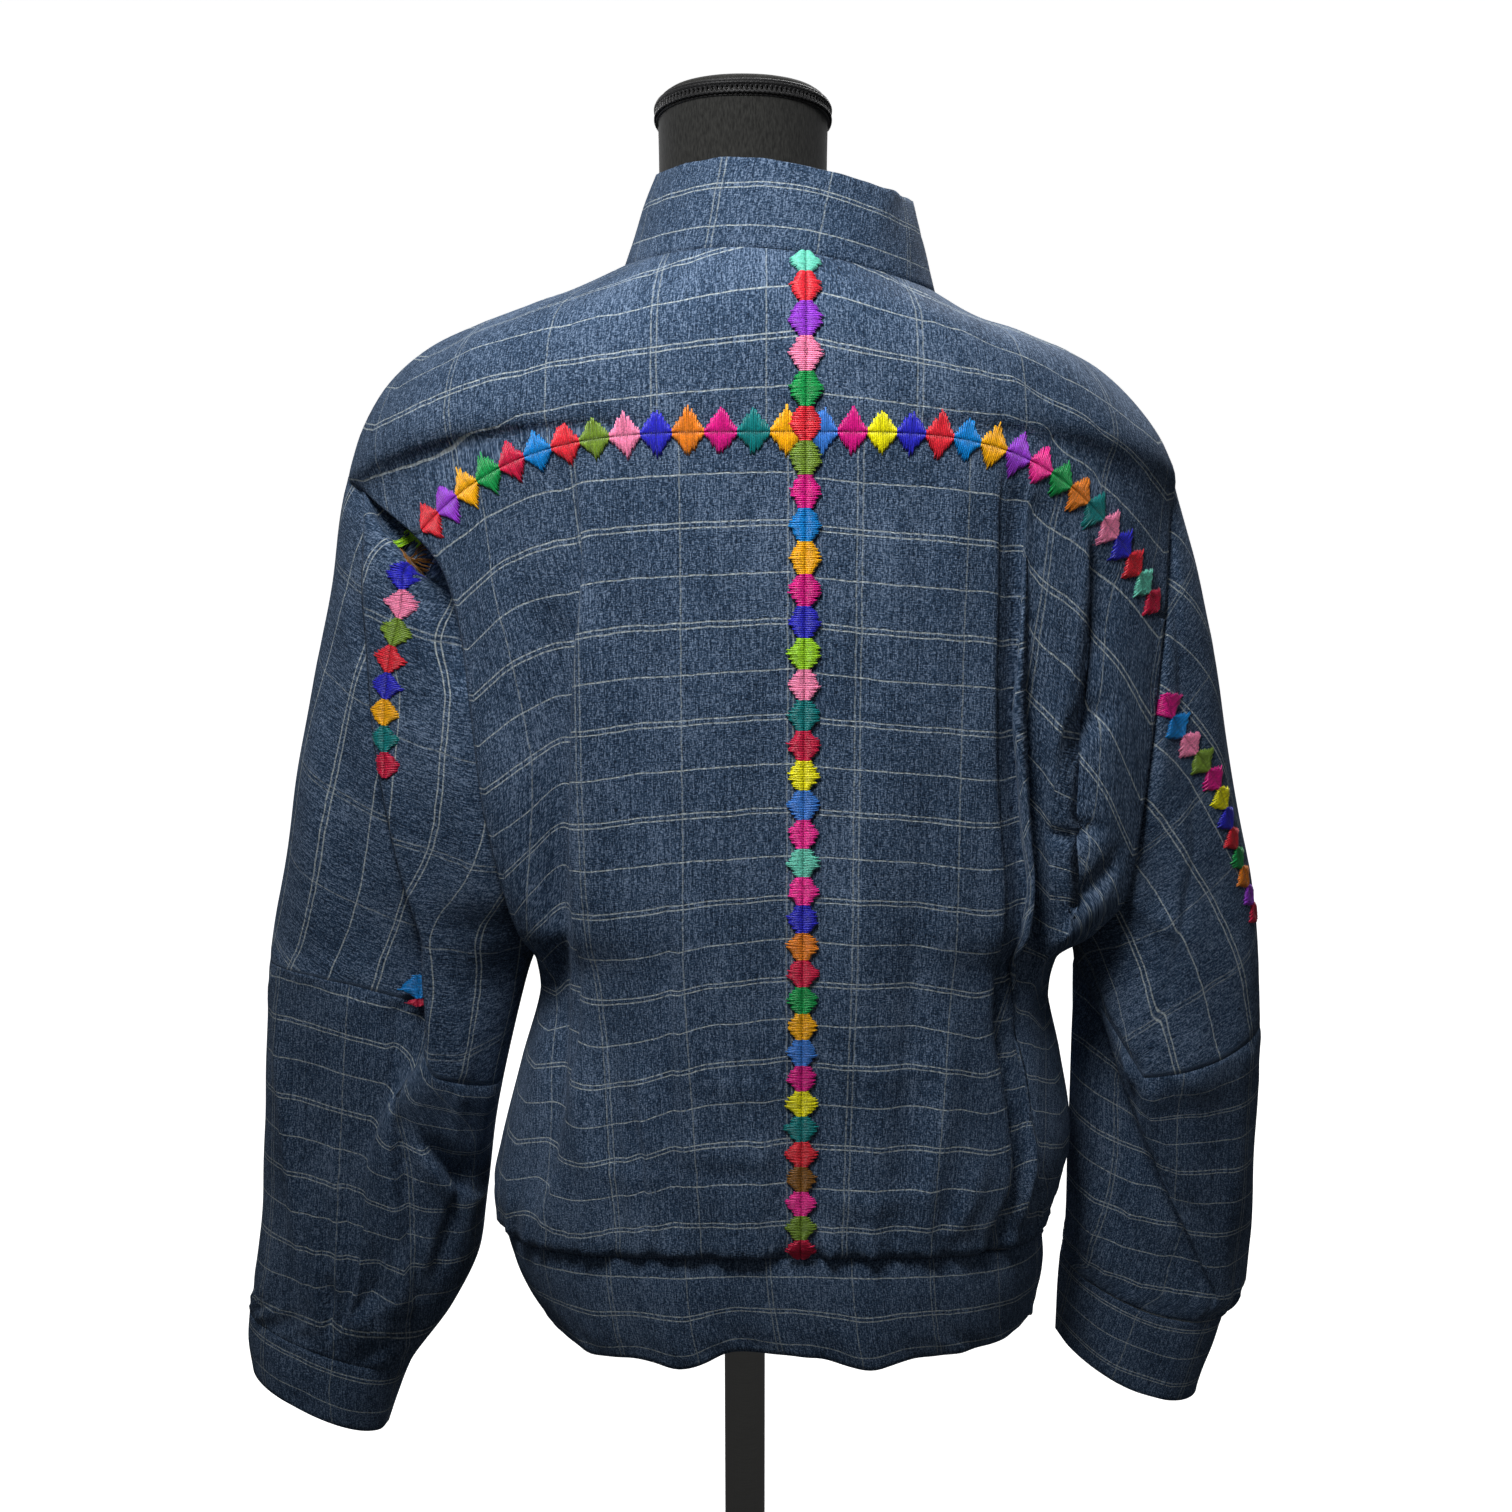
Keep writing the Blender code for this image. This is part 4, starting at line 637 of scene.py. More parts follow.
class Cloth:
    """A fine grid of cloth with its rows, stations, lengths along and down, and line places u and v."""

    def __init__(self, grid, stations, rows):
        self.grid, self.stations, self.rows = grid, stations, rows
        self.along, self.down = lengths_along(grid, 1), lengths_along(grid, 0)
        self.u, self.v = self.along.copy(), self.down.copy()
        self.turn()

    def turn(self):
        """Normals for a grid whose columns run from left to right over the outside."""
        along, down = np.gradient(self.grid, axis=1), np.gradient(self.grid, axis=0)
        self.normals = unit(np.cross(down, along))

    def row_of(self, place):
        """The index of the row that lies at a place."""
        return np.searchsorted(self.rows, place - TINY)

    def shape(self, amounts, mirrored):
        """Moves the cloth out along its normals. If it is mirrored, its columns change their order."""
        if mirrored:
            self.grid, self.u, self.v = self.grid[:, ::-1], self.u[:, ::-1], self.v[:, ::-1]
            self.turn()
            amounts = amounts[:, ::-1]
        self.grid = self.grid + self.normals * amounts[..., None]
        self.turn()

    def square(self, column, axis, amounts):
        """Turns the normals of one edge column square to an axis, as the piece over the seam has them."""
        self.normals[:, column, axis] *= amounts
        self.normals[:, column] = unit(self.normals[:, column])

    def turn_in(self, depth):
        """Adds the seam allowance, folded to the inside along the first row."""
        level = unit(self.normals[:1] * np.array([1.0, 1.0, 0.0]))
        self.grid = np.concatenate([self.grid[:1] - level * depth, self.grid])
        self.normals = np.concatenate([0 * level + np.array([0.0, 0.0, 1.0]), self.normals])
        self.u = np.concatenate([self.u[:1], self.u])
        self.v = np.concatenate([self.v[:1] - depth, self.v])

    def strip(self, first, last):
        """The cloth between two places of its rows, both kept."""
        keep = (self.rows >= first - TINY) & (self.rows <= last + TINY)
        piece = Cloth.__new__(Cloth)
        piece.grid, piece.normals, piece.u, piece.v = (
            values[keep] for values in (self.grid, self.normals, self.u, self.v))
        return piece


def crease_heights(places, creases):
    """How far each place stands out for the creases: each is steep before its line and soft behind it."""
    total = np.zeros(places.shape[:-1])
    for line, before, behind, height in creases:
        line = np.array(line, float)
        lengths = np.linalg.norm(np.diff(line, axis=0), axis=1)
        best = np.full(total.shape, 1e9)
        place = np.zeros(total.shape)
        side = np.zeros(total.shape)
        for k, length in enumerate(lengths):
            run = (line[k + 1] - line[k]) / length
            away = places - line[k]
            along = np.clip(away @ run, 0, length)
            apart = away - along[..., None] * run
            distance = np.linalg.norm(apart, axis=-1)
            nearer = distance < best
            best = np.where(nearer, distance, best)
            place = np.where(nearer, (lengths[:k].sum() + along) / lengths.sum(), place)
            side = np.where(nearer, run[0] * apart[..., 1] - run[1] * apart[..., 0], side)
        taper = np.sin(np.pi * np.clip(place * 0.9 + 0.05, 0, 1)) ** 0.6
        total += height * np.exp(-(best / np.where(side < 0, before, behind)) ** 2) * taper
    return total


def ripples(places, seed, size=0.8, short=28.0, long=85.0):
    """Soft uneven ripples, longer down the cloth than across it."""
    pick = np.random.default_rng(seed)
    total = np.zeros(places.shape[:-1])
    for _ in range(10):
        wave = 2 * np.pi / pick.uniform(short, long)
        angle = pick.normal(0, 0.45)
        across = wave * math.cos(angle)
        upward = wave * math.sin(angle) * 0.7
        total += np.sin(places[..., 0] * across + places[..., -1] * upward + pick.uniform(0, 6.28))
    return size * total / 3


def gathered(along, distance, seed, gap, reach, height):
    """Little pleats that start at a seam and fade with the distance from it."""
    pick = np.random.default_rng(seed)
    total = np.zeros(along.shape)
    place = along.min() + gap
    while place < along.max() - gap / 2:
        width = pick.uniform(2.6, 5.5)
        run = reach * pick.uniform(0.5, 1.5)
        tall = height * pick.uniform(0.35, 1.1) * (1 if pick.uniform() > 0.3 else -0.7)
        lean = pick.uniform(-0.12, 0.12)
        total += tall * np.exp(-((along - place - lean * distance) / width) ** 2 - (distance / run) ** 2)
        place += gap * pick.uniform(0.6, 1.5)
    return total


def edge_lines(grid, edge):
    """The grid seen from one of its edges, and the places of that edge line and of the line next to it."""
    last, near = (0, 1) if edge in ("top", "start") else (-1, -2)
    return grid if edge in ("top", "bottom") else grid.swapaxes(0, 1), last, near


def cloth_mesh(name, cloth, thickness, gaps, start_u):
    """A closed thin shell of cloth with the grid as its outer face, rounded edges, and its lines."""
    outer = cloth.grid.copy()
    for edge in gaps:
        lines, last, near = edge_lines(outer, edge)
        lines[last] += unit(lines[near] - lines[last]) * SEAM_GAP / 2
    points = np.concatenate([outer.reshape(-1, 3), (outer - cloth.normals * thickness).reshape(-1, 3)])
    shift = len(points) // 2
    index = np.arange(shift).reshape(outer.shape[:2])
    corners = (index[:-1, :-1], index[:-1, 1:], index[1:, 1:], index[1:, :-1])
    a, b, c, d = (corner.ravel() for corner in corners)
    faces = [np.stack([a, b, c, d], -1), np.stack([a, d, c, b], -1) + shift]
    sources = [index.ravel()] * 2
    for edge in ("top", "bottom", "start", "stop"):
        lines, last, near = edge_lines(outer, edge)
        line = edge_lines(index, edge)[0][last]
        outward = unit(lines[last] - lines[near])
        middle = points[line] / 2 + points[line + shift] / 2 + outward * thickness * EDGE_ROUND
        mid = len(points) + np.arange(len(line))
        points = np.concatenate([points, middle])
        sources.append(line)
        for upper, lower in ((line, mid), (mid, line + shift)):
            quad = np.stack([upper[:-1], lower[:-1], lower[1:], upper[1:]], -1)
            faces.append(quad[:, ::-1] if edge in ("bottom", "start") else quad)
    source = np.concatenate(sources)
    uv = np.stack([cloth.u.ravel()[source] - start_u, cloth.v.ravel()[source]], -1) * MM
    return mesh_object(name, points, np.concatenate(faces), uv=uv)


def mesh_object(name, points, faces, uv=None, colours=None, outward=False, joined=False):
    """An object from points in millimetres, smooth shaded, with its cloth places and floss colours."""
    mesh = bpy.data.meshes.new(name)
    mesh.from_pydata((np.asarray(points, float) * MM).tolist(), [], [list(map(int, face)) for face in faces])
    if outward:
        shape = bmesh.new()
        shape.from_mesh(mesh)
        if joined:
            bmesh.ops.remove_doubles(shape, verts=shape.verts, dist=TINY)
        bmesh.ops.recalc_face_normals(shape, faces=shape.faces)
        shape.to_mesh(mesh)
        shape.free()
    if uv is not None:
        layer = mesh.uv_layers.new(name="cloth")
        corners = np.empty(len(mesh.loops), np.int32)
        mesh.loops.foreach_get("vertex_index", corners)
        layer.data.foreach_set("uv", uv[corners].astype(np.float32).ravel())
    if colours is not None:
        layer = mesh.color_attributes.new("floss", "FLOAT_COLOR", "POINT")
        layer.data.foreach_set("color", np.asarray(colours, np.float32).ravel())
    mesh.shade_smooth()
    return add_object(name, mesh)


def add_object(name, data):
    thing = bpy.data.objects.new(name, data)
    bpy.context.scene.collection.objects.link(thing)
    return thing


def finish_piece(thing, material, slot, *nodes):
    """Gives a piece its material, puts it on the body and hides the solids it stands for."""
    thing.data.materials.append(material)
    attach(thing, BODY)
    if nodes:
        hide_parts(*nodes)
    return thing


def circle(centre, first, second, radius, sides, start=0.0):
    """Points round a centre, in the plane of two unit steps."""
    angle = (2 * np.pi * np.arange(sides) / sides + start)[:, None]
    return centre + radius * (np.cos(angle) * first + np.sin(angle) * second)


def add_rings(points, faces, rings, ends=(0, -1), closed=False):
    """Adds a body through equal rings to lists of points and faces, with flat faces at the ends named."""
    start, count, sides = len(points), len(rings), len(rings[0])
    for ring in rings:
        points.extend(ring)
    for k in range(count if closed else count - 1):
        low, high = start + k * sides, start + (k + 1) % count * sides
        for turn in range(sides):
            after = (turn + 1) % sides
            faces.append([low + turn, low + after, high + after, high + turn])
    for end in (() if closed else ends):
        faces.append([start + end % count * sides + turn for turn in range(sides)])


def line_frame(line, outward, step):
    """The length of a line, and a function for its centre, side, outward and forward steps at a place."""
    length = lengths_along(line)

    def read(place, values):
        return np.array([np.interp(place, length, values[:, axis]) for axis in range(3)])

    def at(place):
        out = unit(read(place, outward))
        run = unit(read(place + step, line) - read(place - step, line))
        return read(place, line), unit(np.cross(out, run)), out, run

    return length[-1], at


# Materials

def add_node(tree, kind, settings, inputs, out=0):
    """Adds a node with its settings, sets or links its inputs, and gives back one of its outputs."""
    node = tree.nodes.new(kind)
    for name, value in settings.items():
        setattr(node, name, value)
    for name, value in inputs.items():
        if isinstance(value, bpy.types.NodeSocket):
            tree.links.new(value, node.inputs[name])
        else:
            node.inputs[name].default_value = value
    return node.outputs[out]


def new_material(name, **settings):
    """A material with its Principled shader's own sockets set, and add_node for its tree."""
    made = bpy.data.materials.new(name)
    made.use_nodes = True
    tree = made.node_tree
    shader = tree.nodes["Principled BSDF"]
    for socket, value in settings.items():
        shader.inputs[socket.replace("_", " ")].default_value = value
    return made, shader, lambda kind, settings, inputs, out=0: add_node(tree, kind, settings, inputs, out)


def link(shader, **sockets):
    for name, source in sockets.items():
        shader.id_data.links.new(source, shader.inputs[name.replace("_", " ")])


# The layers of the cloth's tone: length of the grains across and along the cloth in millimetres, detail,
# roughness, the range of the noise that is spread to 0..1, and its share. Yarn is 0.45 mm thick. It and its
# slubs are drawn about twice as wide, so that they show at this distance.
TONE_LAYERS = {
    "slub": (0.9, 7, 2.0, 0.55, (0.38, 0.68), 0.26), "thread": (0.8, 1.8, 1.0, 0.55, (0.34, 0.68), 0.30),
    "pick": (2.2, 0.8, 1.0, 0.55, (0.3, 0.7), 0.24), "stripes": (1.5, 160, 2.0, 0.55, (0, 1), 0.34),
    "clouds": (60, 90, 4.0, 0.6, (0, 1), 0.28), "patches": (14, 40, 3.0, 0.55, (0, 1), 0.18),
}
TONE_START = -0.1
DYE_TONES = ((0.22, "0A141F"), (0.44, "18293E"), (0.64, "304762"), (0.92, "7C90AC"))
PAIR_APART = 0.0016
LINE_WANDER = 0.0016
# Turns added before counting repeats: they keep the count positive, and put the single line half a turn away
SINGLE_TURNS = 100.5
PAIR_TURNS = 100.0


def indigo_handloom():
    """Handloom cotton, warp dyed in indigo by the skein and woven on a floor loom: matt, with pale slubs that
    run down the cloth, cloudy dye, and thin cream lines of undyed yarn that come and go under the warp."""
    made, shader, add = new_material("indigo_handloom_cotton", Sheen_Weight=0.14, Sheen_Roughness=0.55,
                                     Sheen_Tint=linear("A9BBD6"), Specular_IOR_Level=0.18)
    tree = made.node_tree
    maths, spread = "ShaderNodeMath", "ShaderNodeMapRange"
    add_up = {"operation": "MULTIPLY_ADD"}
    place = add("ShaderNodeUVMap", {"uv_map": "cloth"}, {})

    def stretched(across_mm, along_mm, detail, rough=0.55):
        """Noise whose grains are this long across and along the cloth."""
        scale = (1000 / across_mm, 1000 / along_mm, 1)
        size = add("ShaderNodeMapping", {}, {"Vector": place, "Scale": scale})
        return add("ShaderNodeTexNoise", {}, {"Vector": size, "Scale": 1.0, "Detail": detail,
                                              "Roughness": rough})

    tone, layers = TONE_START, {}
    for name, (across, along, detail, rough, (low, high), share) in TONE_LAYERS.items():
        grain = stretched(across, along, detail, rough)
        layers[name] = add(spread, {}, {"Value": grain, "From Min": low, "From Max": high})
        tone = add(maths, add_up, {0: layers[name], 1: share, 2: tone})
    ramp = tree.nodes.new("ShaderNodeValToRGB")
    for place_on, code in DYE_TONES:
        ramp.color_ramp.elements.new(place_on).color = linear(code)
    for end in (0, -1):
        ramp.color_ramp.elements.remove(ramp.color_ramp.elements[end])
    tree.links.new(tone, ramp.inputs["Fac"])
    wander = add("ShaderNodeTexNoise", {}, {"Vector": place, "Scale": 90.0, "Detail": 2.0})
    wander = add(maths, add_up, {0: wander, 1: LINE_WANDER, 2: -LINE_WANDER / 2})

    def woven_lines(axis, gap_mm, half_mm, beads, strong):
        """How much of the cream lines shows: single at each repeat and double halfway between, and broken up
        by the warp that passes over them."""
        repeat = 2 * gap_mm * MM
        moved = add("ShaderNodeSeparateXYZ", {}, {0: place}, axis)
        moved = add(maths, {"operation": "ADD"}, {0: moved, 1: wander})
        turns = add(maths, {"operation": "DIVIDE"}, {0: moved, 1: repeat})
        distances = []
        for more, apart in ((SINGLE_TURNS, 0.0), (PAIR_TURNS, PAIR_APART)):
            value = turns
            for operation, other in (("ADD", more), ("FRACT", 0.0), ("SUBTRACT", 0.5), ("ABSOLUTE", 0.0),
                                     ("MULTIPLY", repeat), ("SUBTRACT", apart), ("ABSOLUTE", 0.0)):
                value = add(maths, {"operation": operation}, {0: value, 1: other})
            distances.append(value)
        distance = add(maths, {"operation": "MINIMUM"}, dict(enumerate(distances)))
        core = add(spread, {"interpolation_type": "SMOOTHSTEP"},
                   {"Value": distance, "From Min": half_mm * MM * 0.45, "From Max": half_mm * MM,
                    "To Min": strong, "To Max": 0.0})
        bead = add(spread, {}, {"Value": beads, "From Min": 0.34, "From Max": 0.6, "To Min": 0.18})
        return add(maths, {"operation": "MULTIPLY"}, {0: core, 1: bead})

    weft = woven_lines(1, WEFT_GAP, 0.62, stretched(2.4, 30, 2.0), 0.8)
    warp = woven_lines(0, WARP_GAP, 0.6, stretched(30, 2.8, 2.0), 0.42)
    lines = add(maths, {"operation": "MAXIMUM"}, {0: weft, 1: warp})
    colour = add("ShaderNodeMix", {"data_type": "RGBA"}, {0: lines, 6: ramp.outputs["Color"],
                                                        7: linear("D0DADA")}, 2)
    height = layers["pick"]
    for layer, share in ((layers["thread"], 0.5), (layers["slub"], 0.7), (lines, 0.9)):
        height = add(maths, add_up, {0: layer, 1: share, 2: height})
    link(shader, Base_Color=colour,
         Roughness=add(spread, {}, {"Value": tone, "To Min": 0.95, "To Max": 0.78}),
         Normal=add("ShaderNodeBump", {}, {"Height": height, "Strength": 0.55, "Distance": 0.0006}))
    return made


def rayon_floss():
    """Rayon embroidery floss in satin stitch: shiny along each strand, with a fine noise that lightens and
    darkens its colour as painted highlights and painted shade between strands.
    """
    made, shader, add = new_material("rayon_floss_satin_stitch", Roughness=0.42, Sheen_Weight=0.25,
                                     Sheen_Roughness=0.35, Anisotropic=0.35)
    colour = add("ShaderNodeAttribute", {"attribute_name": "floss"}, {})
    place = add("ShaderNodeTexCoord", {}, {}, 3)
    strands = add("ShaderNodeTexNoise", {}, {"Vector": place, "Scale": 1100.0, "Detail": 2.0})
    # Painted light: the floss colour is multiplied by this noise, lighter and darker as painted highlights
    # and painted shade between strands
    painted_strand_light = add("ShaderNodeMapRange", {}, {"Value": strands, "From Min": 0.32, "From Max": 0.68,
                                           "To Min": 0.72, "To Max": 1.25})
    painted_strand_light = add("ShaderNodeCombineColor", {}, {0: painted_strand_light, 1: painted_strand_light, 2: painted_strand_light})
    link(shader, Base_Color=add("ShaderNodeMix", {"data_type": "RGBA", "blend_type": "MULTIPLY"},
                                {0: 1.0, 6: colour, 7: painted_strand_light}, 2),
         Normal=add("ShaderNodeBump", {}, {"Height": strands, "Strength": 0.5, "Distance": 0.0003}))
    return made


def grained(name, dark, light, grain_mm, stretch, bump_mm, hard=None, **settings):
    """Two close tones mixed by a grain of this size, with its relief. The roughness of a hard material varies
    between two values with the same grain; fibres have more contrast instead."""
    made, shader, add = new_material(name, **settings)
    place = add("ShaderNodeMapping", {}, {"Vector": add("ShaderNodeTexCoord", {}, {}, 3),
                                          "Scale": tuple(1000 / grain_mm * s for s in stretch)})
    grain = add("ShaderNodeTexNoise", {}, {"Vector": place, "Scale": 1.0, "Detail": 4.0 if hard else 3.0})
    mixed = grain
    if hard:
        link(shader, Roughness=add("ShaderNodeMapRange", {}, {"Value": grain, "To Min": hard[0],
                                                              "To Max": hard[1]}))
    else:
        mixed = add("ShaderNodeMapRange", {}, {"Value": grain, "From Min": 0.32, "From Max": 0.68})
    link(shader, Base_Color=add("ShaderNodeMix", {"data_type": "RGBA"}, {0: mixed, 6: linear(dark),
                                                                       7: linear(light)}, 2),
         Normal=add("ShaderNodeBump", {}, {"Height": grain, "Strength": 0.25 if hard else 0.4,
                                           "Distance": bump_mm * MM}))
    return made


INDIGO = indigo_handloom()
RAYON = rayon_floss()
FIBRE = {"Sheen_Roughness": 0.5, "Specular_IOR_Level": 0.25}
# Cotton sewing thread, two-ply and dyed to match: a dull blue cord that catches a little light
SEWING = grained("cotton_sewing_thread", "1B2A42", "4A5F80", 0.4, (1, 1, 1), 0.1, Roughness=0.75,
                 Sheen_Weight=0.2, **FIBRE)
# Knitted polyester cover stretched over the form: matt black with a fine grey rib
KNIT = grained("black_jersey_knit", "1B1B1A", "343432", 0.9, (1, 1, 0.25), 0.3, Roughness=0.9,
               Sheen_Weight=0.12, **FIBRE)
# Twisted viscose gimp, wound over a core: black with a soft gloss along the loops
GIMP = grained("black_viscose_gimp", "060607", "1A1A1C", 0.5, (1, 1, 1), 0.15, Roughness=0.5,
               Sheen_Weight=0.3, **FIBRE)
# Steel plate with a sprayed and baked powder coat: satin black with a faint orange peel
COAT = grained("powder_coated_steel", "131314", "1C1C1E", 2.2, (1, 1, 1), 0.05, hard=(0.42, 0.56))
# Mild steel tube brushed round on a lathe: fine rings that blur its reflections
BRUSHED = grained("lathe_brushed_steel", "A8A8A6", "C4C4C1", 0.5, (0.05, 0.05, 1), 0.02, hard=(0.28, 0.42),
                  Metallic=1.0)
# Cast polyester resin, tumbled to a satin gloss: dark navy with faint clouds
RESIN = grained("cast_resin_button", "141B2B", "22304A", 3.0, (1, 1, 1), 0.03, hard=(0.24, 0.36),
                Coat_Weight=0.2)


# Cloth pieces

ALL_EDGES = ("top", "bottom", "start", "stop")
SIDES = ((True, "left"), (False, "right"))


def cloth_piece(node, cloth, gaps, wall=WALL, start_u=0.0):
    """The thin shell that stands for a panel's solid."""
    piece = cloth_mesh(node + "_cloth", cloth, wall, gaps, start_u)
    finish_piece(piece, INDIGO, "indigo_cloth", node)


def hang_panel(cloth, shape, mirrored):
    """Gives a panel its creases, and square edges where it meets its neighbours."""
    cloth.shape(shape, mirrored)
    turn = columns_of(BODY_ROWS, BODY_COLUMNS)["turn"]
    opened = np.clip(soft_curve(np.arange(len(turn)), turn, cloth.rows) / FULL_TURN, 0, 1)
    centre, edge = (-1, 0) if mirrored else (0, -1)
    cloth.square(centre, 0, 0.0)
    cloth.square(edge, 1, smooth_step(opened * 3))


def number_lines(cloth, left):
    """Places the weft lines of a back panel by the heights at which they hang."""
    hang = np.array(LEFT_HANG if left else RIGHT_HANG, float)
    knots = LEFT_STATIONS if left else RIGHT_STATIONS
    upper = hang[:, 0] < FIRST_LOWER_LINE
    parts = ((cloth.rows < BAND_ROW, upper, UPPER_OFFSET), (cloth.rows >= BAND_ROW, ~upper, FIRST_LOWER_LINE))
    for column, place in enumerate(np.clip(cloth.stations, knots[0], knots[-1])):
        heights = np.array([soft_curve(knots, line[1:], place) for line in hang])
        for part, lines, start in parts:
            z, numbers, high = cloth.grid[part, column, 2], hang[lines, 0], heights[lines]
            slopes = np.diff(numbers) / np.diff(high)
            number = np.interp(z, high[::-1], numbers[::-1])
            number += np.maximum(z - high[0], 0) * slopes[0] + np.minimum(z - high[-1], 0) * slopes[-1]
            cloth.v[part, column] = (number - start) * WEFT_GAP


def build_backs():
    """The back panels with their folds, their listed creases and the lines of their cloth."""
    for left, side in SIDES:
        panel = Panel(left, -1)
        cloth = woven(panel.section, LAST_ROW)
        along, down, rows = cloth.along, cloth.down, cloth.rows
        number_lines(cloth, left)
        flat = cloth.grid[..., [0, 2]]
        eased = np.clip((GATHER_FROM - flat[..., 1]) / (GATHER_FROM - GATHER_TO), 0, 1)
        cloth.u = along * (1 + GATHERED_IN * eased)
        from_edge, from_hem = along[:, -1:] - along, down[-1:] - down
        from_seam = np.abs(down - down[cloth.row_of(BAND_ROW)])
        strength = np.array([panel.fold(side + "_fold", row) for row in rows])[:, None]
        off_fold = 1 - np.clip(strength * 1.6, 0, 0.95) * np.exp(-((cloth.stations - FOLD_MIDDLE) / 4.6) ** 4)
        shape = CREASE_GAIN * crease_heights(flat, BACK_CREASES) + ripples(flat, 11 + left)
        shape[rows < BAND_ROW] *= SHOULDER_CREASES
        shape *= fade(along, 8, 16) * fade(from_edge, 24, 18) * fade(down, 0, 14) * fade(from_seam, 12, 14)
        shape *= off_fold * fade(from_hem, 0, 12)
        pleats = gathered(along, from_hem, 31 + left, *HEM_PLEATS)
        pouch = POUCH * np.exp(-((from_hem - 7) / 7) ** 2)
        shape += ((pleats * off_fold + pouch) * fade(along, 10, 10) * fade(from_edge, 8, 12)
                  * fade(from_hem, -1, 7))
        hang_panel(cloth, shape, left)
        for part, first, last in (("upper", 0, BAND_ROW), ("lower", BAND_ROW, LAST_ROW)):
            name = f"back_{part}_{side}"
            cloth_piece(name, cloth.strip(first, last), ALL_EDGES, start_u=WARP_START[name])


def build_fronts():
    for left, side in SIDES:
        cloth = woven(Panel(left, 1).section, LAST_ROW)
        along, down, heights = cloth.along, cloth.down, cloth.grid[..., 2]
        cloth.v = down[:, :1] + (heights[:, :1] - heights) * FRONT_LINE_DROOP + 12.0
        from_edge, from_hem = along[:, -1:] - along, down[-1:] - down
        flat = cloth.grid[..., [0, 2]]
        shape = crease_heights(flat, FRONT_CREASES) + ripples(flat, 17 + left)
        shape *= fade(along, 16, 16) * fade(from_edge, 24, 18) * fade(down, 0, 14) * fade(from_hem, 0, 12)
        shape += (gathered(along, from_hem, 41 + left, *FRONT_HEM_PLEATS) * fade(along, 16, 8)
                  * fade(from_edge, 8, 12) * fade(from_hem, -2, 9))
        hang_panel(cloth, shape, not left)
        cloth_piece("front_" + side, cloth, ALL_EDGES, start_u=FRONT_WARP_START)


def build_sleeves():
    """Upper sleeves whose lines run lengthwise, lower sleeves and cuffs whose lines run across."""
    pieces = (("sleeve_upper", 0, ELBOW_ROW), ("sleeve_lower", ELBOW_ROW, CUFF_ROW),
              ("cuff", CUFF_ROW, LAST_CUFF_ROW))
    for left, side in SIDES:
        sleeve = Sleeve(left)
        cloth = woven(sleeve.section, LAST_CUFF_ROW)
        rows, stations = cloth.rows, cloth.stations
        outer_column = int(np.argmin(np.abs(stations - SLEEVE_OUTER_STATION)))
        from_outer = np.abs(cloth.along - cloth.along[:, outer_column:outer_column + 1])
        slide = np.array(LEFT_SLIDE if left else RIGHT_SLIDE, float).T
        outside, inside = (soft_curve(slide[0], values, rows)[:, None] for values in slide[1:])
        across_fold = fade(stations, *((7.0, 3.0) if left else (4.5, 8.0)))
        lengthwise = from_outer + outside * across_fold + inside * (1 - across_fold)
        down_outer = cloth.down[:, outer_column:outer_column + 1]
        elbow, cuff = (down_outer[cloth.row_of(row)] for row in (ELBOW_ROW, CUFF_ROW))
        crosswise = (down_outer - elbow) * 1.12 - (8.0 if left else 26.0)
        on_cuff = 19.0 + (down_outer - cuff) * 1.35
        upper = (rows < ELBOW_ROW)[:, None]
        cloth.v = np.where(upper, lengthwise, crosswise)
        cloth.v = np.where((rows >= CUFF_ROW)[:, None], on_cuff, cloth.v)
        cloth.u = np.where(upper, cloth.down + 20.0 - WARP_SLANT * from_outer, from_outer * 1.15 + 22.0)
        cloth.shape(sleeve_creases(cloth, left, outer_column), left)
        opened = smooth_step(np.array([sleeve.read("gap", row) for row in rows]) / 30)
        for column in (0, -1):
            cloth.square(column, 1, opened)
        lengthwise = lengthwise[:, ::-1] if left else lengthwise
        for name, first, last in pieces:
            strip = cloth.strip(first, last)
            if name == "sleeve_upper":
                strip.v[-1] = lengthwise[rows <= ELBOW_ROW][-1]
            elif name == "sleeve_lower":
                strip.v[-1] = strip.v[-2] + CLOTH_STEP
            gaps = ["start", "stop"] + ["top"] * (name != "sleeve_upper") + ["bottom"] * (name != "cuff")
            cloth_piece(f"{name}_{side}", strip, gaps)


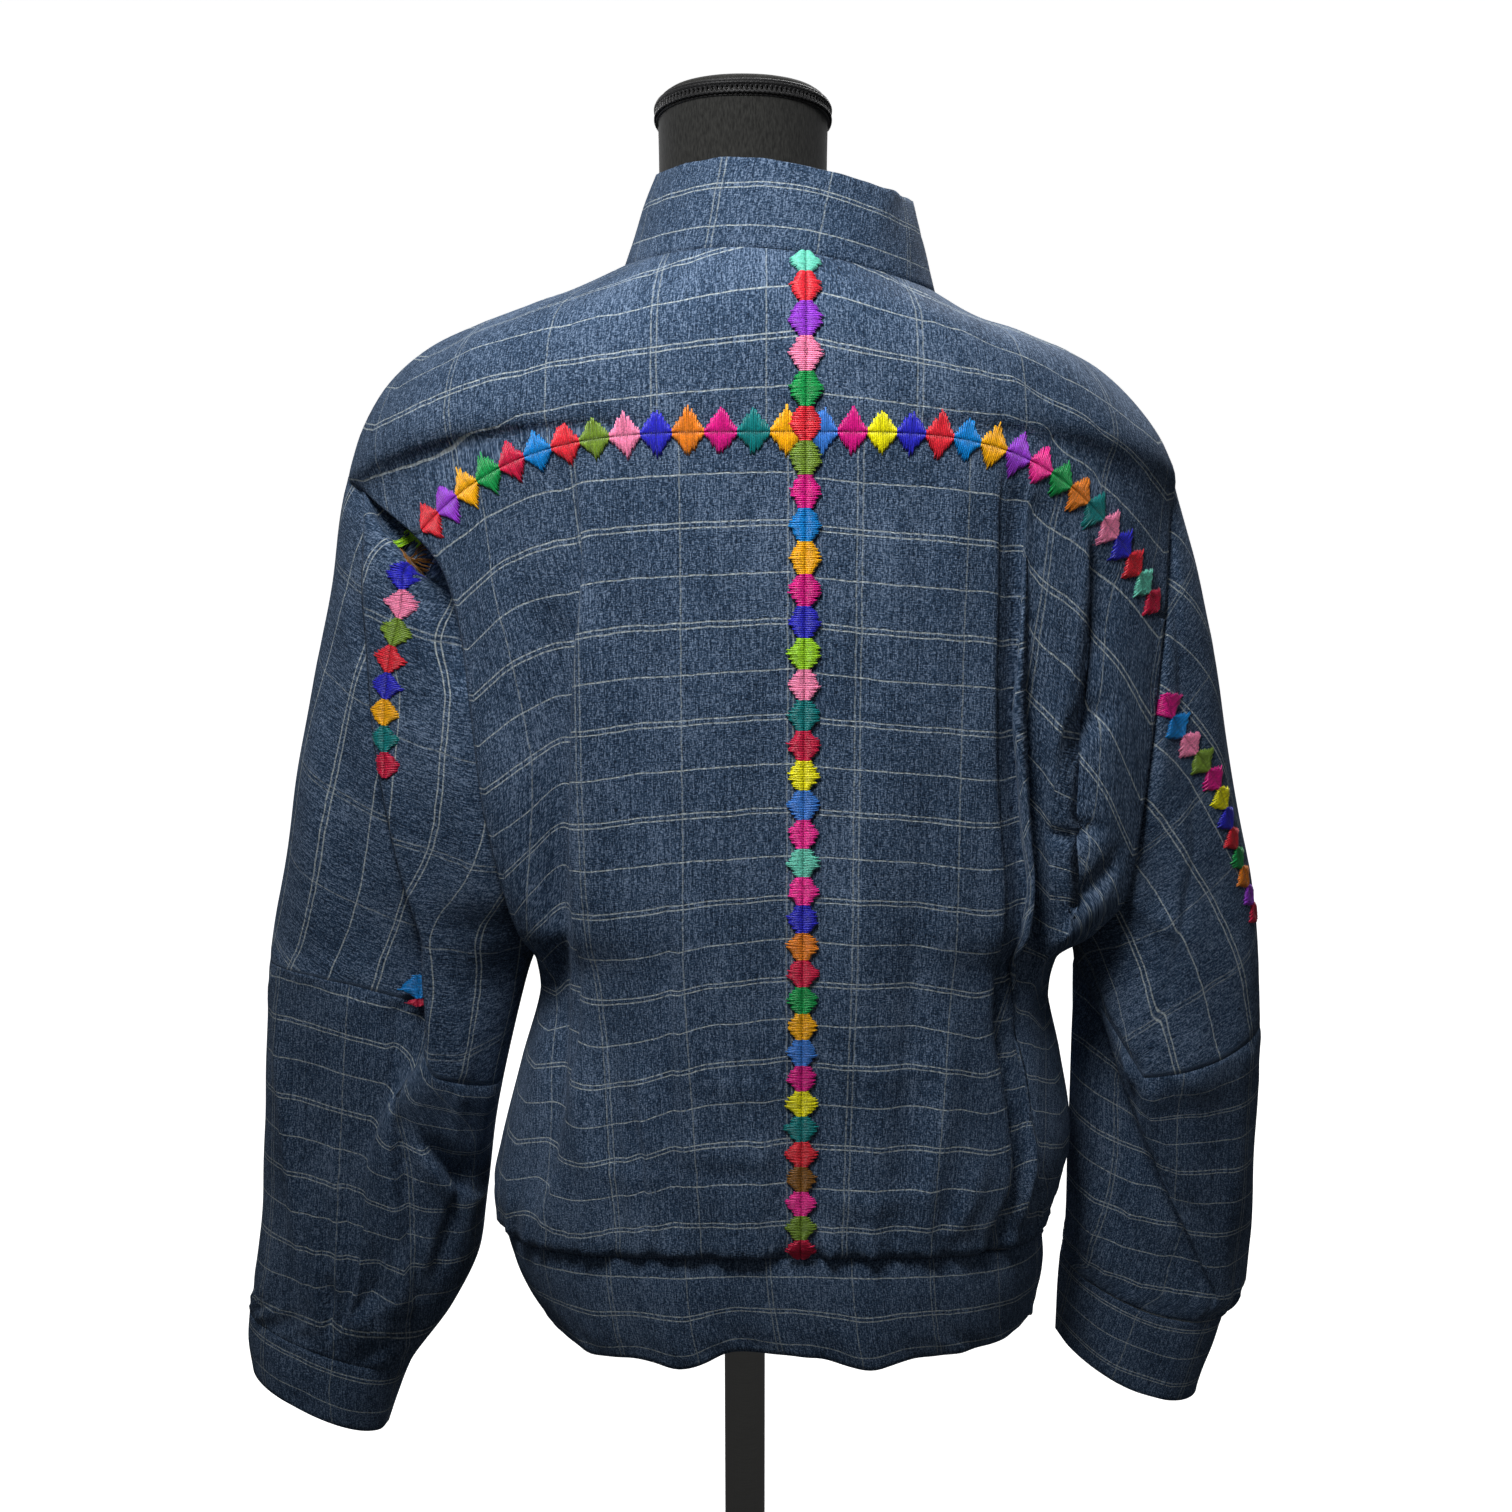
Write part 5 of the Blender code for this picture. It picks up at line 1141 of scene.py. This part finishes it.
def sleeve_creases(cloth, left, outer_column):
    """Listed creases on the back of a sleeve, similar ones on its front, and gathers at its seams."""
    rows, stations, along = cloth.rows, cloth.stations, cloth.along
    back = (np.arange(len(stations)) <= outer_column) + 0.0
    flat = cloth.grid[..., [0, 2]]
    shape = crease_heights(flat, LEFT_SLEEVE_CREASES if left else RIGHT_SLEEVE_CREASES) * back
    front_share = np.clip((stations - SLEEVE_OUTER_STATION) / (stations[-1] - SLEEVE_OUTER_STATION), 0, 1)
    by_row = np.stack(np.broadcast_arrays(front_share[None, :], rows[:, None] * 0.1), -1)
    creases = [([(x, row * 0.1) for x, row in line], *rest) for line, *rest in SLEEVE_FRONT_CREASES]
    shape += crease_heights(by_row, creases) * (1 - back)
    shape += ripples(flat, 23 + left, size=0.7)
    fold_clear = 1 - np.exp(-((stations - 8.5) / 4.0) ** 4) * 0.7
    edge = smooth_step(along / 16) * smooth_step((along[:, -1:] - along) / 16)
    outer = 1 - 0.6 * np.exp(-((stations - SLEEVE_OUTER_STATION) / 1.2) ** 2)
    shape *= fold_clear * edge * outer
    for seam, before, after in ((ELBOW_ROW, 0.9, 2.0), (CUFF_ROW, 3.6, 0.3)):
        distance = cloth.down - cloth.down[cloth.row_of(seam)]
        away = np.abs(distance)
        pleats = gathered(along, away, 50 + seam + left, *SLEEVE_PLEATS)
        pleats *= np.where(distance < 0, before, after) * fade(away, -1.5, 9)
        pleats *= (rows < CUFF_ROW + 0.3)[:, None]
        shape = shape * fade(away, 1.0, 8) + pleats * edge * fold_clear * outer ** 2
    return shape * smooth_step(cloth.down / 12) * smooth_step((LAST_CUFF_ROW - rows[:, None]) / 0.3 + 0.4)


def build_bands():
    """The stand collar and the waistband, each one strip, eased in and out a little along its free edge."""
    for name, table, steps, line_gap, middle_x in (("collar", COLLAR_ROWS, 7, 23.0, -9.0),
                                                   ("waistband", WAISTBAND_ROWS, 11, 25.0, -36.0)):
        columns = np.array(table, float).T
        top = len(table) - 1

        def section(row):
            sizes = [float(soft_curve(np.arange(top + 1), values, top - row)) for values in columns]
            return band_section(sizes, steps)

        cloth = woven(section, top)
        collar = name == "collar"
        along, down, share = cloth.along, cloth.down, cloth.rows / top
        free = (1 - share if collar else share)[:, None]
        x, y = cloth.grid[..., 0], cloth.grid[..., 1]
        middle = int(np.argmin(np.abs(x[0] - middle_x) + (y[0] > 0) * 1000))
        cloth.v = ((down[-1:] - down if collar else down) - SEAM_ALLOWANCE) * WEFT_GAP / line_gap
        cloth.u = along - along[:, middle][:, None]
        cloth.u = cloth.u + WARP_GAP if collar else cloth.u * WARP_GAP / 52
        total = along[:, -1:]
        ends = smooth_step(along / 25) * smooth_step((total - along) / 25)
        shape = ripples(np.stack([along, down], -1), 61 + collar, size=0.5, short=20, long=60) * free
        if not collar:
            near = [(rise, out, np.exp(-((x - at) / 20.0) ** 2) * (y < -30)) for at, rise, out in HEM_WAVES]
            waves = sum(out * close for _, out, close in near)
            around = np.sin(along / total * 2 * np.pi * HEM_TURNS + 0.8) * (y > -30) * 2.0
            shape += (waves + around) * free
            shape += gathered(along, down, 71, *BAND_PLEATS) * smooth_step(down / 6)
            lift = sum(rise * close for rise, _, close in near)
            cloth.grid[..., 2] += lift * smooth_step(free * 1.1) * ends
            cloth.turn()
        cloth.shape(shape * ends, False)
        if not collar:
            cloth.turn_in(SEAM_ALLOWANCE)
        cloth_piece(name, cloth, ("start", "stop"), BAND_WALL)


# Embroidery

# A satin stitch from the groove to its tip: share of its length and height of its middle. Floss is 0.5 mm
# thick and its strands are drawn about twice as wide, so that they show at this distance.
STITCH_SHAPE = [(0.0, 0.85), (0.16, 1.2), (0.45, 1.45), (0.78, 1.1), (1.0, 0.15)]
STITCH_SIDES = 5
STITCH_RADIUS = 0.62
STITCH_PITCH = 1.05
STITCH_LEAN = 0.25
GROOVE = 0.04
# Painted shade: the floss at the groove end of each stitch is darkened by this, where the stitches meet
GROOVE_PAINTED_SHADE = np.array([0.8, 0.8, 0.8, 1])
# Rays start this far outside the cloth. Where the cloth steps by more than EDGE_STEP, stitches dive under it.
LOOK_FROM = 14.0
EDGE_STEP = 7.0
DIVE = 0.6


def chain_line(surface, path):
    """The middle of a chain on a surface, and the way out of the cloth along it."""
    fine = np.linspace(0, len(path) - 1, 260)
    rows, shares = (soft_curve(np.arange(len(path)), values, fine) for values in np.array(path, float).T)
    line, outward = [], []
    for row, share in zip(rows, shares):
        down = surface(row + 0.05, share) - surface(row - 0.05, share)
        along = surface(row, share + 0.01) - surface(row, share - 0.01)
        out = unit(np.cross(down, along))
        line.append(surface(row, share))
        outward.append(-out if out[1] > 0 else out)
    return np.array(line), np.array(outward)


def cloth_finder(*names):
    """Says how far the outer face of the named cloth lies behind a point, looking into the garment."""
    points, faces = [], []
    for name in names:
        mesh = bpy.data.objects[name + "_cloth"].data
        first = len(points)
        points += [vertex.co / MM for vertex in mesh.vertices]
        faces += [[first + k for k in face.vertices] for face in mesh.polygons]
    tree = BVHTree.FromPolygons(points, faces)

    def depth(point, out):
        distance = tree.ray_cast(Vector(point + out * LOOK_FROM), Vector(-out), 2.5 * LOOK_FROM)[3]
        return None if distance is None else distance - LOOK_FROM

    return depth


def satin_chain(name, nodes, surface, path, colours, widths, lengths, seed, waist=2.0, blunt=1.08, lift=-0.25,
                depth=lambda point, out: 0.0):
    """Diamonds of satin stitch along a path. The stitches lie across it and meet in a groove along it."""
    total, at = line_frame(*chain_line(surface, path), 1.0)
    pick = np.random.default_rng(seed)
    lengths = np.linspace(*lengths, len(colours))
    lengths *= total / lengths.sum()
    points, faces, tints = [], [], []
    place = 0.0
    for length, colour in zip(lengths, colours):
        half = (widths[0] + (widths[1] - widths[0]) * place / total) / 2 * pick.uniform(0.94, 1.06)
        tint = np.array(linear(FLOSS[colour]))
        count = max(10, int(round(length / STITCH_PITCH)))
        radius = STITCH_RADIUS * length / count / STITCH_PITCH
        for k in range(count):
            share = (k + 0.5) / count
            outline = np.clip(1 - abs(2 * share - 1), 0, 1)
            reach = waist + (half - waist) * min(1.0, outline * blunt)
            centre, across, out, run = at(place + length * share)
            for side in (-1, 1):
                tip = reach * pick.uniform(0.84, 1.1)
                # Painted light: each stitch's floss is lightened or darkened at random, as painted highlight
                # and painted shade of strands that catch the light differently
                painted_strand_light = tint * pick.uniform(0.78, 1.14)
                painted_strand_light[3] = 1.0
                lean = pick.uniform(-STITCH_LEAN, STITCH_LEAN)
                rings = []
                sunk = None
                for share_along, height in STITCH_SHAPE:
                    reached = GROOVE + (tip - GROOVE) * share_along
                    flat = centre + across * side * reached + run * lean * share_along
                    found = depth(flat, out)
                    if found is None or (sunk is not None and abs(found - sunk) > EDGE_STEP):
                        middle = middle - out * DIVE
                    else:
                        sunk = found
                        middle = flat + out * (height + lift - sunk)
                    thin = 0.75 if share_along in (0.0, 1.0) else 1.0
                    rings.append(circle(middle, run, out, radius * thin, STITCH_SIDES, math.pi / 2))
                    # Rings at the groove get the painted shade
                    tints += [painted_strand_light if share_along else painted_strand_light * GROOVE_PAINTED_SHADE] * STITCH_SIDES
                add_rings(points, faces, rings, ends=(-1,))
        place += length
    finish_piece(mesh_object(name, points, faces, colours=tints, outward=True), RAYON, "satin_thread", *nodes)


def build_chains():
    backs = cloth_finder("back_upper_left", "back_upper_right", "back_lower_left", "back_lower_right")
    satin_chain("centre_back_diamonds", ["chain_centre_back"], Panel(False, -1).base, CENTRE_PATH,
                CENTRE_CHAIN, (18.5, 19.5), (19.6, 16.0), 3, waist=4.0, blunt=1.22, lift=0.9, depth=backs)
    for left, side, colours, widths, lengths, seed in ((True, "left", LEFT_CHAIN, (27, 25), (19, 17), 5),
                                                       (False, "right", RIGHT_CHAIN, (27, 24), (18, 16), 7)):
        satin_chain(side + "_back_diamonds", ["chain_back_" + side], Panel(left, -1).base, SHOULDER_PATH,
                    colours, widths, lengths, seed, depth=backs)
    for left, side, path, colours, seed in (
            (True, "left", LEFT_SLEEVE_PATH, LEFT_SLEEVE_CHAIN, 9),
            (False, "right", RIGHT_SLEEVE_PATH, RIGHT_SLEEVE_CHAIN, 13)):
        satin_chain(f"sleeve_{side}_diamonds", ["chain_sleeve_" + side], Sleeve(left).half, path, colours,
                    (24, 20), (18, 16), seed, depth=cloth_finder("sleeve_upper_" + side))
    elbow = Sleeve(True)
    satin_chain("sleeve_left_elbow_diamonds", [],
                lambda row, share: elbow.half(row, share) + np.array([0.0, ELBOW_SINK, 0.0]),
                ELBOW_PATH, ["azure", "crimson"], (24, 14), (18, 6), 15)


# Front band, its stitches and buttons

BUTTON_BAND_WIDTH = 30.0
BUTTON_BAND_WALL = 1.5
BUTTON_BAND_LIFT = 0.9
BUTTONS = 7
BUTTON_RADIUS = 9.5
BUTTON_HEIGHT = 3.2
HOLE_PLACE = 1.7
HOLE_RADIUS = 0.9
TOPSTITCH_INSET = 2.5
STITCH_LONG = 2.6
STITCH_GAP = 1.2
THREAD_RADIUS = 0.28
BUTTON_PROFILE = [(0.0, 0.0), (0.7, 0.0), (0.92, 0.12), (1.0, 0.42), (0.985, 0.78), (0.93, 0.96), (0.84, 1.0),
                  (0.74, 0.93), (0.66, 0.78), (0.5, 0.7), (0.0, 0.68)]


def stitch_row(name, line, outward):
    """A row of lockstitches along a line, each a short cord that dips into the cloth at its ends."""
    total, at = line_frame(line, outward, 0.5)
    points, faces = [], []
    place = STITCH_GAP
    while place + STITCH_LONG < total:
        rings = []
        for share, height in ((0.0, -0.25), (0.25, 0.2), (0.75, 0.2), (1.0, -0.25)):
            centre, side, out, _ = at(place + STITCH_LONG * share)
            rings.append(circle(centre + out * height, side, out, THREAD_RADIUS, 4, math.pi / 4))
        add_rings(points, faces, rings)
        place += STITCH_LONG + STITCH_GAP
    finish_piece(mesh_object(name, points, faces, outward=True), SEWING, "indigo_cloth")


def build_front_band():
    panel = Panel(False, 1)
    line = [panel.base(row, 0.0) for row in np.linspace(0.08, LAST_ROW, 60)]
    line += [np.array([CENTRE_FRONT_X, row[3], row[2]]) for row in WAISTBAND_ROWS[-2::-1]]
    line = np.array(line)
    line[-1, 2] += 2.0
    tangent = unit(np.gradient(line, axis=0))
    outward = np.stack([np.zeros(len(line)), -tangent[:, 2], tangent[:, 1]], -1)
    lift = BUTTON_BAND_LIFT + BUTTON_BAND_WALL
    across = np.linspace(BUTTON_BAND_WIDTH / 2, -BUTTON_BAND_WIDTH / 2, 9)
    grid = np.stack([line + outward * lift + np.array([shift, 0, 0]) for shift in across], axis=1)
    cloth = Cloth(grid, np.arange(len(across)), np.arange(len(line)))
    cloth.normals = np.repeat(outward[:, None, :], len(across), axis=1)
    cloth.u = cloth.along + 20.0
    cloth_piece("button_band", cloth, (), BUTTON_BAND_WALL)
    for column, name, inset in ((0, "left", TOPSTITCH_INSET), (-1, "right", -TOPSTITCH_INSET)):
        edge = grid[2:-1, column] - np.array([inset, 0, 0])
        stitch_row(f"button_band_topstitch_{name}", edge, outward[2:-1])
    total, at = line_frame(line, outward, 1.0)
    first = lengths_along(np.array([panel.base(row, 0.0) for row in np.linspace(0.08, LAST_ROW, 20)[:3]]))[-1]
    shape = button_shape()
    for k, place in enumerate(np.linspace(first, total - 26, BUTTONS)):
        centre, _, normal, _ = at(place)
        place_button(f"button_{k + 1}", shape, centre + normal * (lift + SEAM_GAP), normal)


def button_shape():
    """A sew-through button, dished in the middle with a rolled rim and four drilled holes."""
    points, faces = [], []
    x_step, y_step, z_step = np.eye(3)
    rings = [circle(z_step * BUTTON_HEIGHT * height, x_step, y_step, BUTTON_RADIUS * radius, 40)
             for radius, height in BUTTON_PROFILE]
    add_rings(points, faces, rings, ends=())
    blank = mesh_object("button_blank", points, faces, outward=True, joined=True)
    drills = bmesh.new()
    for x in (-HOLE_PLACE, HOLE_PLACE):
        for y in (-HOLE_PLACE, HOLE_PLACE):
            made = bmesh.ops.create_cone(drills, cap_ends=True, segments=14, radius1=HOLE_RADIUS * MM,
                                         radius2=HOLE_RADIUS * MM, depth=12 * MM)
            bmesh.ops.translate(drills, verts=made["verts"], vec=Vector((x, y, 0)) * MM)
    drill_mesh = bpy.data.meshes.new("button_drills")
    drills.to_mesh(drill_mesh)
    drills.free()
    drill = add_object("button_drills", drill_mesh)
    cut = blank.modifiers.new("holes", "BOOLEAN")
    cut.object = drill
    cut.operation = "DIFFERENCE"
    bpy.context.view_layer.update()
    drilled = bpy.data.meshes.new_from_object(blank.evaluated_get(bpy.context.evaluated_depsgraph_get()))
    for thing in (blank, drill):
        bpy.data.objects.remove(thing, do_unlink=True)
    return drilled


def place_button(name, shape, seat, normal):
    """A button on its seat, and the crossed thread that holds it."""
    side = np.array([1.0, 0.0, 0.0])
    over = np.cross(normal, side)
    mesh = shape.copy()
    for vertex in mesh.vertices:
        x, y, z = vertex.co
        vertex.co = Vector(seat * MM + side * x + over * y + normal * z)
    mesh.shade_smooth()
    mesh.set_sharp_from_angle(angle=math.radians(40))
    finish_piece(add_object(name + "_resin", mesh), RESIN, "button_resin", name)
    points, faces = [], []
    top = seat + normal * BUTTON_HEIGHT * 0.74
    for turn in (1, -1):
        start, stop = (top + (side + over * turn) * way * HOLE_PLACE for way in (-1, 1))
        run = unit(stop - start)
        beside = np.cross(run, normal)
        for strand in (-0.3, 0.3):
            rings = []
            for share, height in ((0.0, -1.0), (0.08, 0.1), (0.5, 0.45), (0.92, 0.1), (1.0, -1.0)):
                middle = start + (stop - start) * share + normal * height + beside * strand
                rings.append(circle(middle, beside, normal, 0.3, 5))
            add_rings(points, faces, rings)
    finish_piece(mesh_object(name + "_thread", points, faces, outward=True), SEWING, "indigo_cloth")


# Dress form and stand

FORM_SIDES = 96
CAP_STEPS = ((1.6, 1.2), (3.2, 3.4), (4.6, 7.0), (5.8, 12.5), (CAP_RISE, 20.0), (CAP_RISE, 34.0))
BRAID_LOOPS = 58
BRAID_CORD = 0.85
LOOP_STEPS = 12
BASE_PROFILE = [(BASE_RADIUS, 0), (BASE_RADIUS, BASE_HEIGHT * 0.5), (BASE_RADIUS - 0.8, BASE_HEIGHT * 0.78),
                (BASE_RADIUS - 2.2, BASE_HEIGHT * 0.93), (BASE_RADIUS - 4, BASE_HEIGHT),
                (90, BASE_HEIGHT + 2.4), (24, BASE_HEIGHT + 5), (20, BASE_HEIGHT + 7),
                (18, BASE_HEIGHT + 12), (18, BASE_HEIGHT + 25),
                (17, BASE_HEIGHT + 26)]


def form_ring(z, half_width, half_depth, shift, tilt, sides):
    angle = np.linspace(0, 2 * math.pi, sides, endpoint=False)
    x = half_width * np.sign(np.cos(angle)) * np.abs(np.cos(angle)) ** 0.9
    y = shift + half_depth * np.sign(np.sin(angle)) * np.abs(np.sin(angle)) ** 0.9
    return np.stack([x, y, z - tilt * y], -1)


def lofted(name, sections, material, slot, *nodes):
    """A closed body through rings, capped by fans."""
    points, faces = [], []
    add_rings(points, faces, sections, ends=())
    sides, top = len(sections[0]), len(points) - len(sections[0])
    for first, section in ((0, sections[0]), (top, sections[-1])):
        faces += [[len(points), first + col, first + (col + 1) % sides] for col in range(sides)]
        points.append(np.mean(section, axis=0))
    thing = mesh_object(name, points, faces, outward=True)
    thing.data.set_sharp_from_angle(angle=math.radians(60))
    finish_piece(thing, material, slot, *nodes)


def build_form():
    table = np.array(FORM_ROWS, float).T
    sections = []
    for z in np.concatenate([np.linspace(372, 960, 50), np.linspace(963, 1101, 60)]):
        sizes = (float(soft_curve(table[0], column, z)) for column in table[1:])
        sections.append(form_ring(z, *sizes, NECK_TILT * fade(z, 1020, 60), FORM_SIDES))
    z, width, depth, shift = FORM_ROWS[-1]
    for rise, inward in CAP_STEPS:
        sections.append(form_ring(z + rise, width - inward, depth - inward, shift, NECK_TILT, FORM_SIDES))
    lofted("form_in_jersey", sections, KNIT, "form_cloth", "dress_form")
    build_braid(z, width, depth, shift)


def cord_loop(points, faces, path, radius, normals):
    """Adds a closed round cord along a path to lists of points and faces."""
    run = unit(np.roll(path, -1, axis=0) - np.roll(path, 1, axis=0))
    side = unit(np.cross(run, normals))
    steps = zip(path, side, np.cross(side, run))
    add_rings(points, faces, [circle(*step, radius, 6) for step in steps], closed=True)


def build_braid(z, width, depth, shift):
    """Looped gimp braid round the cap of the neck: two cords that loop through each other under a ridge."""
    points, faces = [], []
    level, up = np.array([1, 1, 0]), np.array([0, 0, 1.0])
    ring = form_ring(z - 5.5, width + 1.3, depth + 1.3, shift, NECK_TILT, 720)
    ring = np.concatenate([ring, ring[:1]])
    length = lengths_along(ring)
    pitch = length[-1] / BRAID_LOOPS
    steps = np.arange(BRAID_LOOPS * LOOP_STEPS) / LOOP_STEPS
    for cord in range(2):
        phase = 2 * math.pi * (steps + cord * 0.5)
        along = (steps * pitch + 0.52 * pitch * np.sin(phase)) % length[-1]
        centre = np.stack([np.interp(along, length, ring[:, axis]) for axis in range(3)], -1)
        out = unit(centre * level)
        path = centre + up * (2.7 * np.cos(phase))[:, None] + out * (0.35 * np.cos(2 * phase))[:, None]
        cord_loop(points, faces, path, BRAID_CORD, out)
    for drop, radius, off in ((-1.4, 1.0, 0.6), (-9.4, 0.7, 0.3)):
        ridge = form_ring(z + drop, width + off, depth + off, shift, NECK_TILT, 160)
        cord_loop(points, faces, ridge, radius, unit(ridge * level))
    braid = mesh_object("looped_gimp_braid", points, faces, outward=True)
    finish_piece(braid, GIMP, "gimp_braid", "neck_braid")


def build_stand():
    x_step, y_step, z_step = np.eye(3)
    sections = [circle(z_step * height, x_step, y_step, radius, 128) for radius, height in BASE_PROFILE]
    lofted("base_plate", sections, COAT, "powder_coat", "stand_base")
    pole = bpy.data.objects["stand_pole"]
    pole.data.materials.clear()
    pole.data.materials.append(BRUSHED)


# Camera, floor and light

# The camera fitted to the photo, in metres and degrees: its place, tilt and focal length on a 36 mm sensor
CAMERA_PLACE = (0.0078, -1.225, 0.985)
CAMERA_TILT = 77
CAMERA_LENS = 46.36
# Soft boxes in metres, watts and degrees: name, place, aim, size, power, spread. The key hangs close above
# the back behind a grid, so that its light falls off down the jacket.
LAMPS = [("key", (-0.2, -0.66, 1.66), (0, -0.1, 0.86), 0.35, 1.95, 66),
         ("front", (0.5, 1.2, 1.95), (0, 0, 0.75), 0.9, 22, 180)]
BACKDROP_GLOW = 0.95
SKY_BELOW = 0.035
SKY_ABOVE = 0.13
# The floor in metres: how far it is flat, the radius of its curve, and the wall's lower and upper heights
FLOOR_FLAT = 2.2
FLOOR_CURVE = 0.9
WALL_HEIGHTS = (2.5, 4.6)
FLOOR_SIDES = 96


def build_studio():
    scene = bpy.context.scene
    data = bpy.data.cameras.new("camera")
    data.lens = CAMERA_LENS
    data.sensor_width = 36
    camera = add_object("camera", data)
    camera.location = CAMERA_PLACE
    camera.rotation_euler = (math.radians(CAMERA_TILT), 0, 0)
    scene.camera = camera
    bowl = [(FLOOR_FLAT, 0.0)]
    bowl += [(FLOOR_FLAT + FLOOR_CURVE * math.sin(a), FLOOR_CURVE - FLOOR_CURVE * math.cos(a))
             for a in np.linspace(0.15, math.pi / 2, 10)]
    bowl += [(FLOOR_FLAT + FLOOR_CURVE, height) for height in WALL_HEIGHTS]
    points, faces = [], []
    x_step, y_step, z_step = np.eye(3)
    rings = [circle(z_step * height, x_step, y_step, radius, FLOOR_SIDES) for radius, height in bowl[::-1]]
    add_rings(points, faces, rings, ends=(-1,))
    # Matt painted studio floor that curves up into its walls: near white and evenly bright. It throws no
    # light back, so that the folds keep their depth
    painted = new_material("matt_white_floor_paint", Roughness=0.85, Base_Color=linear("E6E6E4"),
                           Emission_Color=(1, 1, 1, 1), Emission_Strength=BACKDROP_GLOW)[0]
    floor = mesh_object("studio_floor", np.array(points) / MM, faces)
    floor.data.materials.append(painted)
    floor.visible_diffuse = False
    floor.visible_glossy = False
    floor.visible_shadow = False
    for name, place, aim, size, power, spread in LAMPS:
        lamp = bpy.data.lights.new(name, "AREA")
        lamp.size = size
        lamp.energy = power
        lamp.spread = math.radians(spread)
        thing = add_object(name, lamp)
        thing.location = place
        thing.rotation_euler = (Vector(aim) - Vector(place)).to_track_quat("-Z", "Y").to_euler()
        thing.visible_camera = False
    scene.view_settings.view_transform = "Standard"
    world = bpy.data.worlds.new("studio")
    world.use_nodes = True
    tree = world.node_tree
    up = add_node(tree, "ShaderNodeSeparateXYZ", {}, {0: add_node(tree, "ShaderNodeTexCoord", {}, {})}, 2)
    sky = add_node(tree, "ShaderNodeMapRange", {}, {"Value": up, "From Min": -0.6, "From Max": 0.9,
                                                    "To Min": SKY_BELOW, "To Max": SKY_ABOVE})
    tree.nodes["Background"].inputs["Color"].default_value = (1, 1, 1, 1)
    tree.links.new(sky, tree.nodes["Background"].inputs["Strength"])
    scene.world = world


build_studio()
build_backs()
build_fronts()
build_sleeves()
build_bands()
build_chains()
build_front_band()
build_form()
build_stand()
